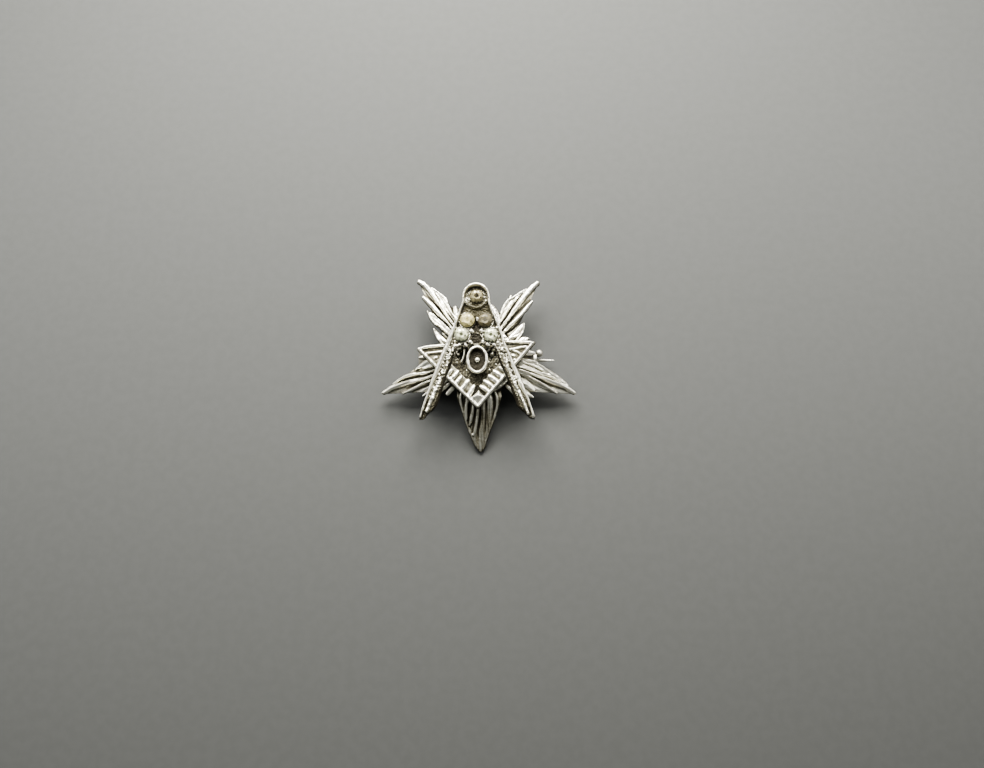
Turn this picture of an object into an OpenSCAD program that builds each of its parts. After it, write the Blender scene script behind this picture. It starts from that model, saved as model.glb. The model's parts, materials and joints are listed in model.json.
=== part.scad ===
/* [Star] */
// Centre of the star to the tip of a side arm, along the arm
star_r = 13.95; // [12:0.05:16]
// Distance from the centre at which each arm starts to bend backwards
bend_r = 5.5; // [5:0.1:6.5]
// Height of the flat seat at the centre, over the back plane
seat_h = 1.25; // [1.1:0.05:1.5]
// Radius of the flat seat
seat_r = 5; // [4.7:0.1:5.4]
// Height of the main ridges at their fullest
ridge_h = 1.2; // [1:0.05:1.25]
// Height of the main ridges at the tips
tip_h = 0.72; // [0.5:0.02:0.9]
// Thickness of the plate under the ridges at an arm's tip
plate_tip_h = 0.36; // [0.25:0.01:0.45]

/* [Square] */
// Outer corner of the square, below the star's centre
square_drop = 6.97; // [6.5:0.01:7.5]
// Length of an arm's outer edge
square_l = 11.55; // [11:0.05:12]
// Angle between the two arms
square_angle = 86; // [84:0.5:92]
// Turn of the square on the star, to the left
square_turn = 2.6; // [0:0.1:4]
// Width of each arm
square_w = 3; // [2.6:0.1:3.2]
// Height of its plate
square_h = 0.5; // [0.4:0.05:0.6]
// Width of the raised rim
rim_w = 0.4; // [0.3:0.02:0.5]
// Height of the rim over the plate
rim_h = 0.36; // [0.2:0.02:0.4]
// Length of the pleats that stand square to the rim
pleat_l = 1.75; // [1.4:0.05:2]

/* [Compasses] */
// Sideways place of the emblem on the star
emblem_x = -0.28; // [-0.4:0.01:0.4]
// Height of the compasses' own centre over the star's
compass_y = -0.12; // [-0.3:0.01:0.3]
// Centre of the head, above the star's centre
head_y = 8.35; // [8:0.05:8.8]
// Outer radius of the head
head_r = 1.77; // [1.7:0.01:1.9]
// Inner radius of the head's cup
cup_r = 1.42; // [1.35:0.01:1.45]
// Height of the legs and the web, over the back of the compasses
leg_h = 0.85; // [0.7:0.05:1]
// Height of the head's rim over the back of the compasses
head_h = 1.2; // [1:0.05:1.4]
// Width of a leg below the stones
leg_w = 1.36; // [1.2:0.02:1.5]
// Half the distance between the legs' outer edges at their lower ends
leg_foot_x = 7.65; // [7.2:0.05:8]
// Lower ends of the legs, below the star's centre
leg_foot_y = 8.3; // [7.8:0.05:8.6]

/* [Stones] */
// Radius of a stone at its girdle
stone_r = 0.98; // [0.9:0.01:1]
// Height of a stone from its back to its table
stone_h = 0.78; // [0.7:0.01:0.9]

/* [Centre ring] */
// Half the width of the oval ring
oval_a = 1.5; // [1.4:0.02:1.6]
// Half the height of the oval ring
oval_b = 1.94; // [1.8:0.02:2]
// Thickness of the ring's wire
oval_wire = 0.46; // [0.4:0.02:0.5]

/* [Pin and catch] */
// Pin line, above the star's centre
pin_y = 0.4; // [0.2:0.05:0.6]
// Depth of the pin stem's axis behind the star's back plane
pin_depth = 2; // [1.9:0.05:2.2]
// Hinge axis, left of the star's centre
hinge_x = 6.95; // [6.8:0.05:7.2]
// Point of the pin stem, right of the star's centre
point_x = 10.4; // [10:0.1:10.8]
// Radius of the pin stem
stem_r = 0.33; // [0.3:0.01:0.35]
// Radius of the hinge's ears and of the catch's housing
knuckle_r = 1.3; // [1.27:0.01:1.33]
// Radius of the hinge rivet
rivet_r = 0.35; // [0.3:0.01:0.4]
// Radius of the ball on the catch's lever
ball_r = 0.53; // [0.45:0.01:0.55]

/* [Rest] */
// Tilt of the star's back plane as the pin lies on a table
tilt = 4.5; // [3:0.5:6]
// Drop from the pin line to the flat feet of the ears and of the catch's housing
foot_drop = 1.1; // [1.08:0.01:1.12]

/* [Hidden] */

gap = 0.05;
eps = 0.01;
round_sides = 32;

// Height of the star's centre over the table, with the hinge and the catch both resting on it
rest_h = foot_drop + pin_depth * cos(tilt) - pin_y * sin(tilt);
// The lowest arm is the short one, and it is bent until the end of its plate all but meets the table too
low_arm_r = 12.7;
plate_short = 0.2;
low_droop = asin((rest_h - bend_r * sin(tilt) - eps) / (low_arm_r - plate_short - bend_r)) - tilt;

// Arms of the star: bearing, length, droop, half the angle at the tip
BEARING = 0;
LENGTH = 1;
DROOP = 2;
HALF_ANGLE = 3;
arms = [
    [126.5, star_r + 0.35, 5, 18.5],
    [53.8, star_r - 0.1, 5, 19],
    [198.3, star_r, 9, 19.5],
    [-18.3, star_r, 9, 20],
    [-89.5, low_arm_r, low_droop, 22.5],
];

// Rays of an arm: bearing from the arm's own, half width, height, length past the arm's outline
OFFSET = 0;
HALF_W = 1;
HEIGHT = 2;
PAST = 3;
rays = [
    [0, 0.5, ridge_h, 0],
    [4.2, 0.4, ridge_h - 0.07, 0.15],
    [-4.4, 0.4, ridge_h - 0.09, -0.1],
    [9.3, 0.44, ridge_h - 0.14, 0.25],
    [-9.5, 0.42, ridge_h - 0.16, 0.1],
    [15, 0.42, ridge_h - 0.2, 0.3],
    [-15.5, 0.44, ridge_h - 0.2, 0.25],
    [22, 0.44, ridge_h - 0.26, 0.5],
    [-22.5, 0.44, ridge_h - 0.26, 0.7],
    [30, 0.48, ridge_h - 0.3, 0.6],
    [-30, 0.48, ridge_h - 0.3, 0.9],
    [36, 0.4, ridge_h - 0.4, 1.6],
];
ray_root = 2.5;
ray_low = 0.35;
ray_tip_w = 0.07;
ray_tip_drop = 0.14;

// Plate under the rays, and the distance from the centre to an arm's outline on a bearing from the arm's own
plate_h = 0.8;
plate_end_w = 0.14;
function outline_r(arm, offset) = arm[LENGTH] * sin(arm[HALF_ANGLE]) / sin(arm[HALF_ANGLE] + abs(offset));

// The origin lies under the middle of the outline, halfway between the highest and the lowest arm's tip
function lying_y(p) = p[1] * cos(tilt) - p[2] * sin(tilt);
top_y = lying_y(arm_point(arms[0], arms[0][LENGTH], -ray_tip_w, ray_low / 2));
low_y = lying_y(arm_point(arms[4], low_arm_r, 0, tip_h - ray_tip_drop));
centre_y = -(top_y + low_y) / 2;

// Levels of the stacked pieces over the star's back plane
square_z = seat_h + gap;
compass_z = square_z + square_h + rim_h + gap;
ring_z = compass_z + 0.05;

// Slope of the legs' outer edges, and the place of such an edge at a height y
leg_top_x = 2.67;
leg_top_y = 4.8;
leg_slope = (leg_foot_x - leg_top_x) / (leg_top_y + leg_foot_y);
leg_angle = atan(leg_slope);
function leg_edge(y) = leg_top_x + (leg_top_y - y) * leg_slope;

// Stones: side place, height place, level of the back over the back of the compasses
stones = [
    [0.1, head_y + 0.05, 0.3],
    [-1.16, 5.08, 0.42],
    [1.12, 5.12, 0.38],
    [-2.02, 2.92, 0.42],
    [1.98, 2.98, 0.42],
];
cup_wall = 0.2;
cup_gap = 0.03;

// Laid on the table: tilted about the pin's own side-to-side line and lifted until it rests
module lying() {
    translate([0, centre_y, rest_h])
        rotate([tilt, 0, 0])
            children();
}

// A convex solid round a list of points
module hull_of(points) {
    hull()
        polyhedron(points, [[for (i = [0:len(points) - 1]) i]]);
}

// A point of an arm: u along it, s to its left, h over the back plane, bent back past bend_r
function arm_point(arm, u, s, h) =
    let (over = max(0, u - bend_r),
         d = u > bend_r ? arm[DROOP] : 0,
         along = u - over + over * cos(d) + h * sin(d),
         b = arm[BEARING])
    [along * cos(b) - s * sin(b), along * sin(b) + s * cos(b), h * cos(d) - over * sin(d)];

// One cross-section of a ray: a low arch on the arm's plate
function ray_section(arm, offset, r, half_w, low, high) =
    [for (p = [[-1, 0], [-0.6, 0.7], [0, 1], [0.6, 0.7], [1, 0]])
        let (across = p[0] * half_w)
        arm_point(arm, r * cos(offset) - across * sin(offset), r * sin(offset) + across * cos(offset),
                  low + p[1] * (high - low))];

module star_ray(arm, ray) {
    reach = outline_r(arm, ray[OFFSET]) + ray[PAST];
    belly = ray_root + 0.6 * (reach - ray_root);
    hull_of(concat(
        ray_section(arm, ray[OFFSET], ray_root, 0.2, ray_low, 0.9 * ray[HEIGHT]),
        ray_section(arm, ray[OFFSET], belly, ray[HALF_W], ray_low, ray[HEIGHT]),
        ray_section(arm, ray[OFFSET], reach - 0.4, 0.2, ray_low / 2, tip_h),
        ray_section(arm, ray[OFFSET], reach, ray_tip_w, ray_low / 2, tip_h - ray_tip_drop)));
}

// Plate under an arm's rays, in two straight stretches that meet at the bend
module arm_plate(arm) {
    bend_w = (arm[LENGTH] - bend_r) * tan(arm[HALF_ANGLE]);
    at_root = [for (s = [-1, 1], h = [0, plate_h]) arm_point(arm, 0.5, s * bend_w * 0.8, h)];
    at_bend = [for (s = [-1, 1], h = [0, plate_h]) arm_point(arm, bend_r, s * bend_w, h)];
    at_tip = [for (s = [-1, 1], h = [0, plate_tip_h])
        arm_point(arm, arm[LENGTH] - plate_short, s * plate_end_w, h)];
    hull_of(concat(at_root, at_bend));
    hull_of(concat(at_bend, at_tip));
}

module star() {
    bed_w = bar_w + 0.4;
    color("silver") lying() difference() {
        union() {
            for (arm = arms) {
                arm_plate(arm);
                for (ray = rays)
                    star_ray(arm, ray);
            }
            cylinder(h = seat_h, r = seat_r, $fn = round_sides);
        }
        // Flat bed for the bar of the pin back
        translate([-hinge_x - 2, pin_y - bed_w / 2, -4])
            cube([2 * hinge_x + 4, bed_w, 4 + gap]);
    }
}

// The right arm of the square: its direction, the way inwards from its edge, and its end, cut nearly level
square_out = [sin(square_angle / 2), cos(square_angle / 2)];
square_in = [-cos(square_angle / 2), sin(square_angle / 2)];
end_slope = 4;
end_dir = [-cos(end_slope), sin(end_slope)];
end_cut = square_w / (end_dir * square_in);
function square_corner(inset) = [0, inset / sin(square_angle / 2)];

module square_arm() {
    tip = square_l * square_out;
    polygon([[0, 0], tip, tip + end_cut * end_dir, square_corner(square_w)]);
}

// A bar of the square's relief: from one place to another, half width, height over the plate
module bar(from, to, half_w, height) {
    dir = (to - from) / norm(to - from);
    side = [-dir[1], dir[0]];
    foot = [for (p = [from, to], s = [-1, 1]) concat(p + s * half_w * side, -0.1)];
    crest = [for (p = [from + 0.1 * dir, to - 0.1 * dir], s = [-1, 1]) concat(p + s * half_w * 0.45 * side, height)];
    hull_of(concat(foot, crest));
}

// Relief of one arm, drawn for the right arm, from the corner outwards
module square_relief() {
    rim_in = rim_w * 0.55;
    tip = square_l * square_out + rim_in * (end_dir + square_in) * 0.9;
    bar(square_corner(rim_in), tip, rim_w / 2, rim_h);
    bar(tip, tip + (end_cut - 0.5) * end_dir, rim_w / 2, rim_h - 0.06);
    for (step = [1.9:0.95:6.7]) {
        foot = step * square_out + (rim_w + 0.08) * square_in;
        room = foot[0] / cos(square_angle / 2) - 0.35;
        bar(foot, foot + min(pleat_l, room) * square_in, 0.24, rim_h - 0.1);
    }
    // Long raised bars that fill the end of the arm
    bar(tip + [-1.5, -0.62], tip + [-3.9, -0.5], 0.2, rim_h - 0.1);
    bar(tip + [-2.6, -1.3], tip + [-4.4, -1.25], 0.2, rim_h - 0.12);
}

module builders_square() {
    color("gainsboro") lying() translate([emblem_x + 0.18, -square_drop, square_z]) rotate([0, 0, square_turn]) {
        linear_extrude(square_h) {
            square_arm();
            mirror([1, 0]) square_arm();
        }
        translate([0, 0, square_h]) {
            square_relief();
            mirror([1, 0, 0]) square_relief();
            // Small arrow head in the corner
            bar([0, 1.05], [0, 2.15], 0.42, rim_h - 0.04);
        }
    }
}

// Flat outline of the compasses' upper half: web between the legs, and the head
module web_outline() {
    top = 7.2;
    low = 1.75;
    polygon([[-leg_edge(low), low], [-leg_edge(leg_top_y), leg_top_y], [-1.62, top], [-1.7, head_y],
             [1.7, head_y], [1.62, top], [leg_edge(leg_top_y), leg_top_y], [leg_edge(low), low]]);
    translate([0, head_y]) circle(head_r - 0.12, $fn = round_sides);
}

// A straight rail of the compasses: along an outer edge, set in from it, between two heights y
module rail(inset, from_y, to_y, half_w, low, high) {
    across = inset / cos(leg_angle);
    foot = [for (y = [from_y, to_y], s = [-1, 1]) [leg_edge(y) - across + s * half_w, y, low]];
    crest = [for (y = [from_y, to_y], s = [-1, 1]) [leg_edge(y) - across + s * half_w * 0.5, y, high]];
    hull_of(concat(foot, crest));
}

// Right leg: plate, outer rim, inner ridge and the row of grains on it
module leg() {
    foot_y = -leg_foot_y;
    grains = 15;
    inner = leg_w - 0.38;
    plate = [for (y = [2.2, foot_y + 0.55]) leg_edge(y) - 0.06];
    hull_of([for (z = [0.02, leg_h - 0.3], p = [
        [plate[0], 2.2], [plate[0] - leg_w - 0.2, 2.2],
        [plate[1], foot_y + 0.55], [plate[1] - leg_w, foot_y + 0.75],
        [plate[1] - 0.35, foot_y], [plate[1] - 0.8, foot_y + 0.1]]) concat(p, z)]);
    rail(0.14, leg_top_y + 0.3, foot_y + 0.35, 0.19, 0.1, leg_h + 0.1);
    rail(inner, 1.85, foot_y + 0.5, 0.26, 0.12, leg_h - 0.05);
    for (i = [0:grains - 1]) {
        y = 1.5 - i * (1.5 + leg_foot_y - 1) / (grains - 1);
        translate([leg_edge(y) - inner / cos(leg_angle), y, leg_h - 0.2])
            grain(0.27, 0.3);
    }
}

// Low eight-sided grain of a radius and a height
module grain(r, h) {
    hull_of([for (level = [[1, 0], [0.9, 0.5], [0.45, 1]], k = [0:7])
        [level[0] * r * cos(k * 45), level[0] * r * sin(k * 45), level[1] * h]]);
}

// Cup for a stone: side place, height place, radius of the stone, level of its rim
module cup(x, y, r, rim) {
    translate([x, y, 0.05])
        cylinder(h = rim - 0.05, r = r + cup_gap + cup_wall, $fn = round_sides);
}

module cup_bore(x, y, r, floor_z) {
    translate([x, y, floor_z])
        cylinder(h = 4, r = r + cup_gap, $fn = round_sides);
}

module compasses() {
    seat_x = 0.02;
    seat_y = 2.5;
    seat_bore = 0.6;
    color("gainsboro") lying() translate([emblem_x, compass_y, compass_z]) difference() {
        union() {
            linear_extrude(leg_h - 0.22) web_outline();
            leg();
            mirror([1, 0, 0]) leg();
            translate([0, head_y, 0]) cylinder(h = head_h, r = head_r, $fn = round_sides);
            for (i = [1:4])
                cup(stones[i][0], stones[i][1], stone_r, leg_h);
            cup(seat_x, seat_y, seat_bore, leg_h);
            // Grain between the middle stones, which holds both
            translate([-0.02, 5.25, leg_h - 0.2]) sphere(0.34, $fn = 10);
            // Boss on the back, which stands on the star's seat
            translate([0, 3.55, seat_h - compass_z + 0.02]) cylinder(h = compass_z - seat_h, r = 1, $fn = round_sides);
        }
        translate([0, head_y, 0.26]) cylinder(h = 4, r = cup_r, $fn = round_sides);
        for (i = [1:4])
            cup_bore(stones[i][0], stones[i][1], stone_r, stones[i][2] - cup_gap);
        cup_bore(seat_x, seat_y, seat_bore, 0.2);
        // Hollow between the four lower stones
        translate([0, 4.05, 0.2]) cylinder(h = 4, r = 0.42, $fn = round_sides);
        // Notch between the legs under the empty seat
        translate([0, 0.5, -1]) cylinder(h = 4, r = 1.35, $fn = round_sides);
        translate([-1.9, 0.4, -0.1]) cube([3.8, 1.55, 3]);
    }
}

// Cut stone: table, crown and girdle over a blunt back
module stone(i) {
    place = stones[i - 1];
    girdle = 0.42 * stone_h;
    levels = [[0.5, 0, 8], [1, girdle, 16], [1, girdle + 0.08, 16], [0.8, 0.82 * stone_h, 8], [0.56, stone_h, 8]];
    color("lightyellow") lying()
        translate([emblem_x + place[0], compass_y + place[1], compass_z + place[2]])
            hull_of([for (level = levels, k = [0:level[2] - 1])
                let (turn = (k + (level[0] == 0.8 ? 0.5 : 0)) * 360 / level[2])
                [level[0] * stone_r * cos(turn), level[0] * stone_r * sin(turn), level[1]]]);
}

module stone_1() { stone(1); }
module stone_2() { stone(2); }
module stone_3() { stone(3); }
module stone_4() { stone(4); }
module stone_5() { stone(5); }

function oval(a, b) = [for (i = [0:27]) [a * cos(i * 360 / 28), b * sin(i * 360 / 28)]];

// Oval ring with a bead in it, on a post that stands on the star's seat
module centre_ring() {
    ring_h = 0.75;
    floor_h = 0.22;
    color("gainsboro") lying() translate([emblem_x + 0.08, -0.42, 0]) {
        translate([0, 0, ring_z]) {
            linear_extrude(floor_h) polygon(oval(oval_a - 0.1, oval_b - 0.1));
            difference() {
                union() {
                    linear_extrude(ring_h - 0.16) polygon(oval(oval_a, oval_b));
                    linear_extrude(ring_h) polygon(oval(oval_a - 0.14, oval_b - 0.14));
                }
                translate([0, 0, floor_h / 2])
                    linear_extrude(ring_h) polygon(oval(oval_a - oval_wire, oval_b - oval_wire));
            }
            translate([0, 0, floor_h + 0.1]) sphere(0.42, $fn = round_sides);
        }
        translate([0, 0, seat_h + 0.02]) cylinder(h = ring_z - seat_h, r = 0.8, $fn = round_sides);
    }
}

// Measures of the hinge and the catch
bar_h = 0.6;
bar_w = 1.9;
eye_w = 0.8;
ear_w = 0.5;
eye_r = 0.8;
catch_x = 6.3;
catch_w = 1.2;
flange_w = 0.35;
rotor_r = 0.85;
flange_r = 1.02;
rotor_bore = 0.5;
throat_w = 0.96;
lever_angle = 35;
lever_l = 1.07;
ball_x = 8.3;

// Solid of revolution about the pin line: from x, over a length, of a radius
module pin_round(x, l, r) {
    translate([x, pin_y, -pin_depth]) rotate([0, 90, 0]) cylinder(h = l, r = r, $fn = round_sides);
}

// Cut from the pin line straight away from the star
module throat(x, l) {
    translate([x, pin_y - throat_w / 2, -pin_depth - 3]) cube([l, throat_w, 3]);
}

// Ear of the hinge, from side place y
module ear(y) {
    translate([-hinge_x, y + ear_w, 0]) rotate([90, 0, 0]) linear_extrude(ear_w) difference() {
        union() {
            translate([0, -pin_depth]) circle(knuckle_r, $fn = round_sides);
            translate([-knuckle_r, -pin_depth]) square([2 * knuckle_r, pin_depth - bar_h / 2]);
        }
        translate([0, -pin_depth]) circle(rivet_r + eps, $fn = round_sides);
    }
}

// Housing of the catch: a ring under the bar, open away from the star
module housing() {
    neck_w = 1.6;
    difference() {
        union() {
            pin_round(catch_x, catch_w, knuckle_r);
            translate([catch_x, pin_y - neck_w / 2, -pin_depth]) cube([catch_w, neck_w, pin_depth - bar_h / 2]);
        }
        pin_round(catch_x - 1, catch_w + 2, rotor_r + gap);
        throat(catch_x - 1, catch_w + 2);
    }
}

// Bar with the hinge's ears at one end and the catch's housing at the other, filed flat where it rests
module pin_back() {
    left = -hinge_x - knuckle_r;
    color("darkgray") difference() {
        lying() {
            translate([left, pin_y - bar_w / 2, -bar_h]) cube([catch_x + catch_w - left, bar_w, bar_h]);
            ear(pin_y + eye_w / 2 + gap);
            ear(pin_y - eye_w / 2 - gap - ear_w);
            housing();
        }
        translate([-10, -5, -1]) cube([20, 10, 1]);
    }
}

// Rivet through the ears and the stem's eye
module hinge_rivet() {
    head_w = 0.25;
    half = eye_w / 2 + gap + ear_w;
    color("darkgray") lying() translate([-hinge_x, pin_y, -pin_depth]) rotate([90, 0, 0]) {
        cylinder(h = 2 * (half + head_w), r = rivet_r, center = true, $fn = round_sides);
        for (z = [half + eps, -half - eps - head_w])
            translate([0, 0, z]) cylinder(h = head_w, r = 0.62, $fn = round_sides);
    }
}

// Straight stem with an eye at the hinge and a long point
module pin_stem() {
    point_l = 2.6;
    color("lightgray") lying() difference() {
        union() {
            translate([-hinge_x, pin_y + eye_w / 2, -pin_depth]) rotate([90, 0, 0])
                cylinder(h = eye_w, r = eye_r, $fn = round_sides);
            pin_round(-hinge_x + 0.5, hinge_x + point_x - point_l - 0.5, stem_r);
            translate([point_x - point_l, pin_y, -pin_depth]) rotate([0, 90, 0])
                cylinder(h = point_l, r1 = stem_r, r2 = 0.06, $fn = round_sides);
        }
        translate([-hinge_x, pin_y + 1, -pin_depth]) rotate([90, 0, 0])
            cylinder(h = 2, r = rivet_r + gap, $fn = round_sides);
    }
}

// Turning sleeve of the catch, with the ball that turns it
module catch_lever() {
    sleeve_x = catch_x - gap - flange_w;
    sleeve_l = catch_w + 2 * (gap + flange_w);
    root = [catch_x + catch_w + gap + flange_w / 2, 0.8];
    reach = [ball_x, lever_l] - root;
    color("lightgray") lying() {
        difference() {
            union() {
                pin_round(sleeve_x, sleeve_l, rotor_r);
                for (x = [sleeve_x, catch_x + catch_w + gap])
                    pin_round(x, flange_w, flange_r);
            }
            pin_round(sleeve_x - 1, sleeve_l + 2, rotor_bore);
            throat(sleeve_x - 1, sleeve_l + 2);
        }
        translate([0, pin_y, -pin_depth]) rotate([lever_angle, 0, 0]) {
            translate([root[0], root[1], 0]) rotate([0, 0, atan2(reach[1], reach[0])]) rotate([0, 90, 0])
                cylinder(h = norm(reach), r = 0.2, $fn = round_sides);
            translate([ball_x, lever_l, 0]) sphere(ball_r, $fn = round_sides);
        }
    }
}

star();
builders_square();
compasses();
centre_ring();
stone_1();
stone_2();
stone_3();
stone_4();
stone_5();
pin_back();
hinge_rivet();
pin_stem();
catch_lever();
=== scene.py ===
import json
import math

import bpy
import numpy as np
from mathutils import Matrix, Vector, noise


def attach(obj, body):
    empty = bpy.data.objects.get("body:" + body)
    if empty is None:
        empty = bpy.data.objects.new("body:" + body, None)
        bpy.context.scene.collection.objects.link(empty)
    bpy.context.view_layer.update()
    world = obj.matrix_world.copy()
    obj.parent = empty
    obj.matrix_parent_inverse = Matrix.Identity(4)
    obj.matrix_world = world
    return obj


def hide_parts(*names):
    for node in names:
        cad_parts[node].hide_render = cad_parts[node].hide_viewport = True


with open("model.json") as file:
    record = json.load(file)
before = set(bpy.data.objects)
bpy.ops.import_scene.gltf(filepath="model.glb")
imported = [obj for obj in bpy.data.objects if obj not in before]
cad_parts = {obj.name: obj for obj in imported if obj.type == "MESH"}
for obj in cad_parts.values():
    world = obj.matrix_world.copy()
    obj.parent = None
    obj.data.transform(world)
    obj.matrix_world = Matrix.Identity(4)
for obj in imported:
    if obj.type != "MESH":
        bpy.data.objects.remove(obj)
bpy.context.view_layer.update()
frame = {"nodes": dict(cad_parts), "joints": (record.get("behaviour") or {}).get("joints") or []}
mm = 0.001
print("frame loaded")

# The pin lies tilted on its hinge and catch. Everything on its front is drawn in the star's own
# millimetres, face up with the back plane at 0, and laid down with this matrix.
hinge = next(j for j in frame["joints"] if j["name"] == "stem_hinge")
tilt = math.atan2(hinge["axis"][2], hinge["axis"][1])
hingeInStar = Vector((-6.95, 0.4, -2.0)) * mm
turn = Matrix.Rotation(tilt, 4, "X")
starPlace = Vector(hinge["pos_m"]) - turn @ hingeInStar
layDown = Matrix.Translation(starPlace) @ turn @ Matrix.Scale(mm, 4)

camera = {
    "place": (1.7703, -27.1613, 100.3648), "elevation": 76.0, "pixels": 740.0, "frameWidth": 984.0,
    "sensor": 36.0, "nearest": 1.0,
}


# A new object of the scene that shows the given data
def placed(name, data):
    made = bpy.data.objects.new(name, data)
    bpy.context.scene.collection.objects.link(made)
    return made


def makeCamera():
    data = bpy.data.cameras.new("camera")
    data.sensor_width = camera["sensor"]
    data.lens = camera["pixels"] / camera["frameWidth"] * data.sensor_width
    data.clip_start = camera["nearest"] * mm
    made = placed("camera", data)
    made.location = Vector(camera["place"]) * mm
    made.rotation_euler = (math.radians(90.0 - camera["elevation"]), 0.0, 0.0)
    bpy.context.scene.camera = made


makeCamera()
print("camera placed")


# A Value is a shader socket that can stand in a sum
class Value:
    def __init__(self, shader, socket):
        self.shader = shader
        self.socket = socket

    def sum(self, operation, first, second):
        return self.shader.node("ShaderNodeMath", {"operation": operation}, {0: first, 1: second})

    def __add__(self, other):
        return self.sum("ADD", self, other)

    def __radd__(self, other):
        return self.sum("ADD", other, self)

    def __sub__(self, other):
        return self.sum("SUBTRACT", self, other)

    def __rsub__(self, other):
        return self.sum("SUBTRACT", other, self)

    def __mul__(self, other):
        return self.sum("MULTIPLY", self, other)

    def __rmul__(self, other):
        return self.sum("MULTIPLY", other, self)

    def most(self, other):
        return self.sum("MAXIMUM", self, other)

    # 0 below one end, 1 above the other, smooth between
    def between(self, low, high):
        settings = {"interpolation_type": "SMOOTHSTEP"}
        inputs = {"Value": self, "From Min": low, "From Max": high, "To Min": 0.0, "To Max": 1.0}
        return self.shader.node("ShaderNodeMapRange", settings, inputs)


class Shader:
    def __init__(self, name):
        self.material = bpy.data.materials.new(name)
        self.material.use_nodes = True
        self.tree = self.material.node_tree
        self.tree.nodes.clear()

    def node(self, kind, settings=None, inputs=None, output=0):
        made = self.tree.nodes.new(kind)
        for key, value in (settings or {}).items():
            setattr(made, key, value)
        for key, value in (inputs or {}).items():
            if isinstance(value, Value):
                self.tree.links.new(value.socket, made.inputs[key])
            else:
                made.inputs[key].default_value = value
        return Value(self, made.outputs[output]) if made.outputs else None

    def attribute(self, name):
        return self.node("ShaderNodeAttribute", {"attribute_name": name}, None, "Fac")

    # Place in the object's own coordinates
    def place(self):
        return self.node("ShaderNodeTexCoord", None, None, "Object")

    # Speckle of a size in millimetres
    def speckle(self, size, detail, rough, stretch=(1.0, 1.0, 1.0)):
        place = self.node("ShaderNodeVectorMath", {"operation": "MULTIPLY"}, {0: self.place(), 1: stretch})
        inputs = {"Vector": place, "Scale": 1.0 / (size * mm), "Detail": detail, "Roughness": rough}
        return self.node("ShaderNodeTexNoise", {"noise_dimensions": "3D"}, inputs)

    # Sockets 6, 7 and 2 are the node's colour ones
    def mix(self, factor, first, second):
        return self.node("ShaderNodeMix", {"data_type": "RGBA"}, {0: factor, 6: first, 7: second}, 2)

    def bump(self, height, strength, distance, under=None):
        inputs = {"Height": height, "Strength": strength, "Distance": distance * mm}
        if under is not None:
            inputs["Normal"] = under
        return self.node("ShaderNodeBump", None, inputs)

    def finish(self, inputs):
        surface = self.node("ShaderNodeBsdfPrincipled", None, inputs)
        self.node("ShaderNodeOutputMaterial", None, {"Surface": surface})
        return self.material


def rgb(red, green, blue):
    return (red, green, blue, 1.0)


# Silver-tone casting, dark with patina in the hollows and with painted shade where the recess mark adds it.
# Broad and fine
# are speckles: size, detail, roughness. What ends in From is where a mask begins and where it is full.
starLook = {
    "bright": rgb(0.9, 0.88, 0.78), "dull": rgb(0.4, 0.385, 0.315), "dirtAndShade": rgb(0.085, 0.078, 0.052),
    "pit": rgb(0.02, 0.017, 0.01), "amber": rgb(0.032, 0.027, 0.009),
    "dullFrom": (0.36, 0.6), "dirtAndShadeFrom": (0.56, 0.84), "pitFrom": (0.82, 1.02), "glueFrom": (0.3, 0.8),
    "broad": (1.4, 3.0, 0.6), "fine": (0.16, 4.0, 0.65), "patchy": 0.2, "grain": 0.2,
    "gluePatchy": 0.9, "glueGrain": 0.4, "glueTint": 0.9, "glueCover": 0.85, "dirtAndShadeCover": 0.6,
    "rough": 0.34, "dullRough": 0.08, "dirtAndShadeRough": 0.2, "glueSmooth": 0.12, "specular": 0.3,
    "pitting": 0.35, "pitDepth": 0.03, "waves": 0.3, "waveDepth": 0.12,
}
reliefLook = dict(starLook, dullFrom=(0.3, 0.54), dirtAndShadeFrom=(0.5, 0.78), pitFrom=(0.78, 0.98), grain=0.24)


def castMetal(name, look):
    s = Shader(name)
    hollowAndShade = s.attribute("recessAndShade")
    amber = s.attribute("amber")
    broad = s.speckle(*look["broad"])
    fine = s.speckle(*look["fine"])
    # The recess mark holds patina in the hollows and painted shade, and both turn the colour dark
    depth = hollowAndShade + (broad - 0.5) * look["patchy"] + (fine - 0.5) * look["grain"]
    dull = depth.between(*look["dullFrom"])
    dirtAndShade = depth.between(*look["dirtAndShadeFrom"])
    pit = depth.between(*look["pitFrom"])
    colour = s.mix(dirtAndShade, s.mix(dull, look["bright"], look["dull"]), look["dirtAndShade"])
    colour = s.mix(pit, colour, look["pit"])
    glue = amber + (broad - 0.5) * look["gluePatchy"] + (fine - 0.5) * look["glueGrain"]
    glue = glue.between(*look["glueFrom"])
    colour = s.mix(glue * look["glueTint"], colour, look["amber"])
    rough = look["rough"] + dull * look["dullRough"] + dirtAndShade * look["dirtAndShadeRough"] - glue * look["glueSmooth"]
    metallic = 1.0 - (dirtAndShade * look["dirtAndShadeCover"]).most(glue * look["glueCover"])
    pits = s.bump(fine, look["pitting"], look["pitDepth"])
    waves = s.bump(broad, look["waves"], look["waveDepth"], pits)
    return s.finish({
        "Base Color": colour, "Metallic": metallic, "Roughness": rough, "Normal": waves,
        "Specular IOR Level": look["specular"],
    })
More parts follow.
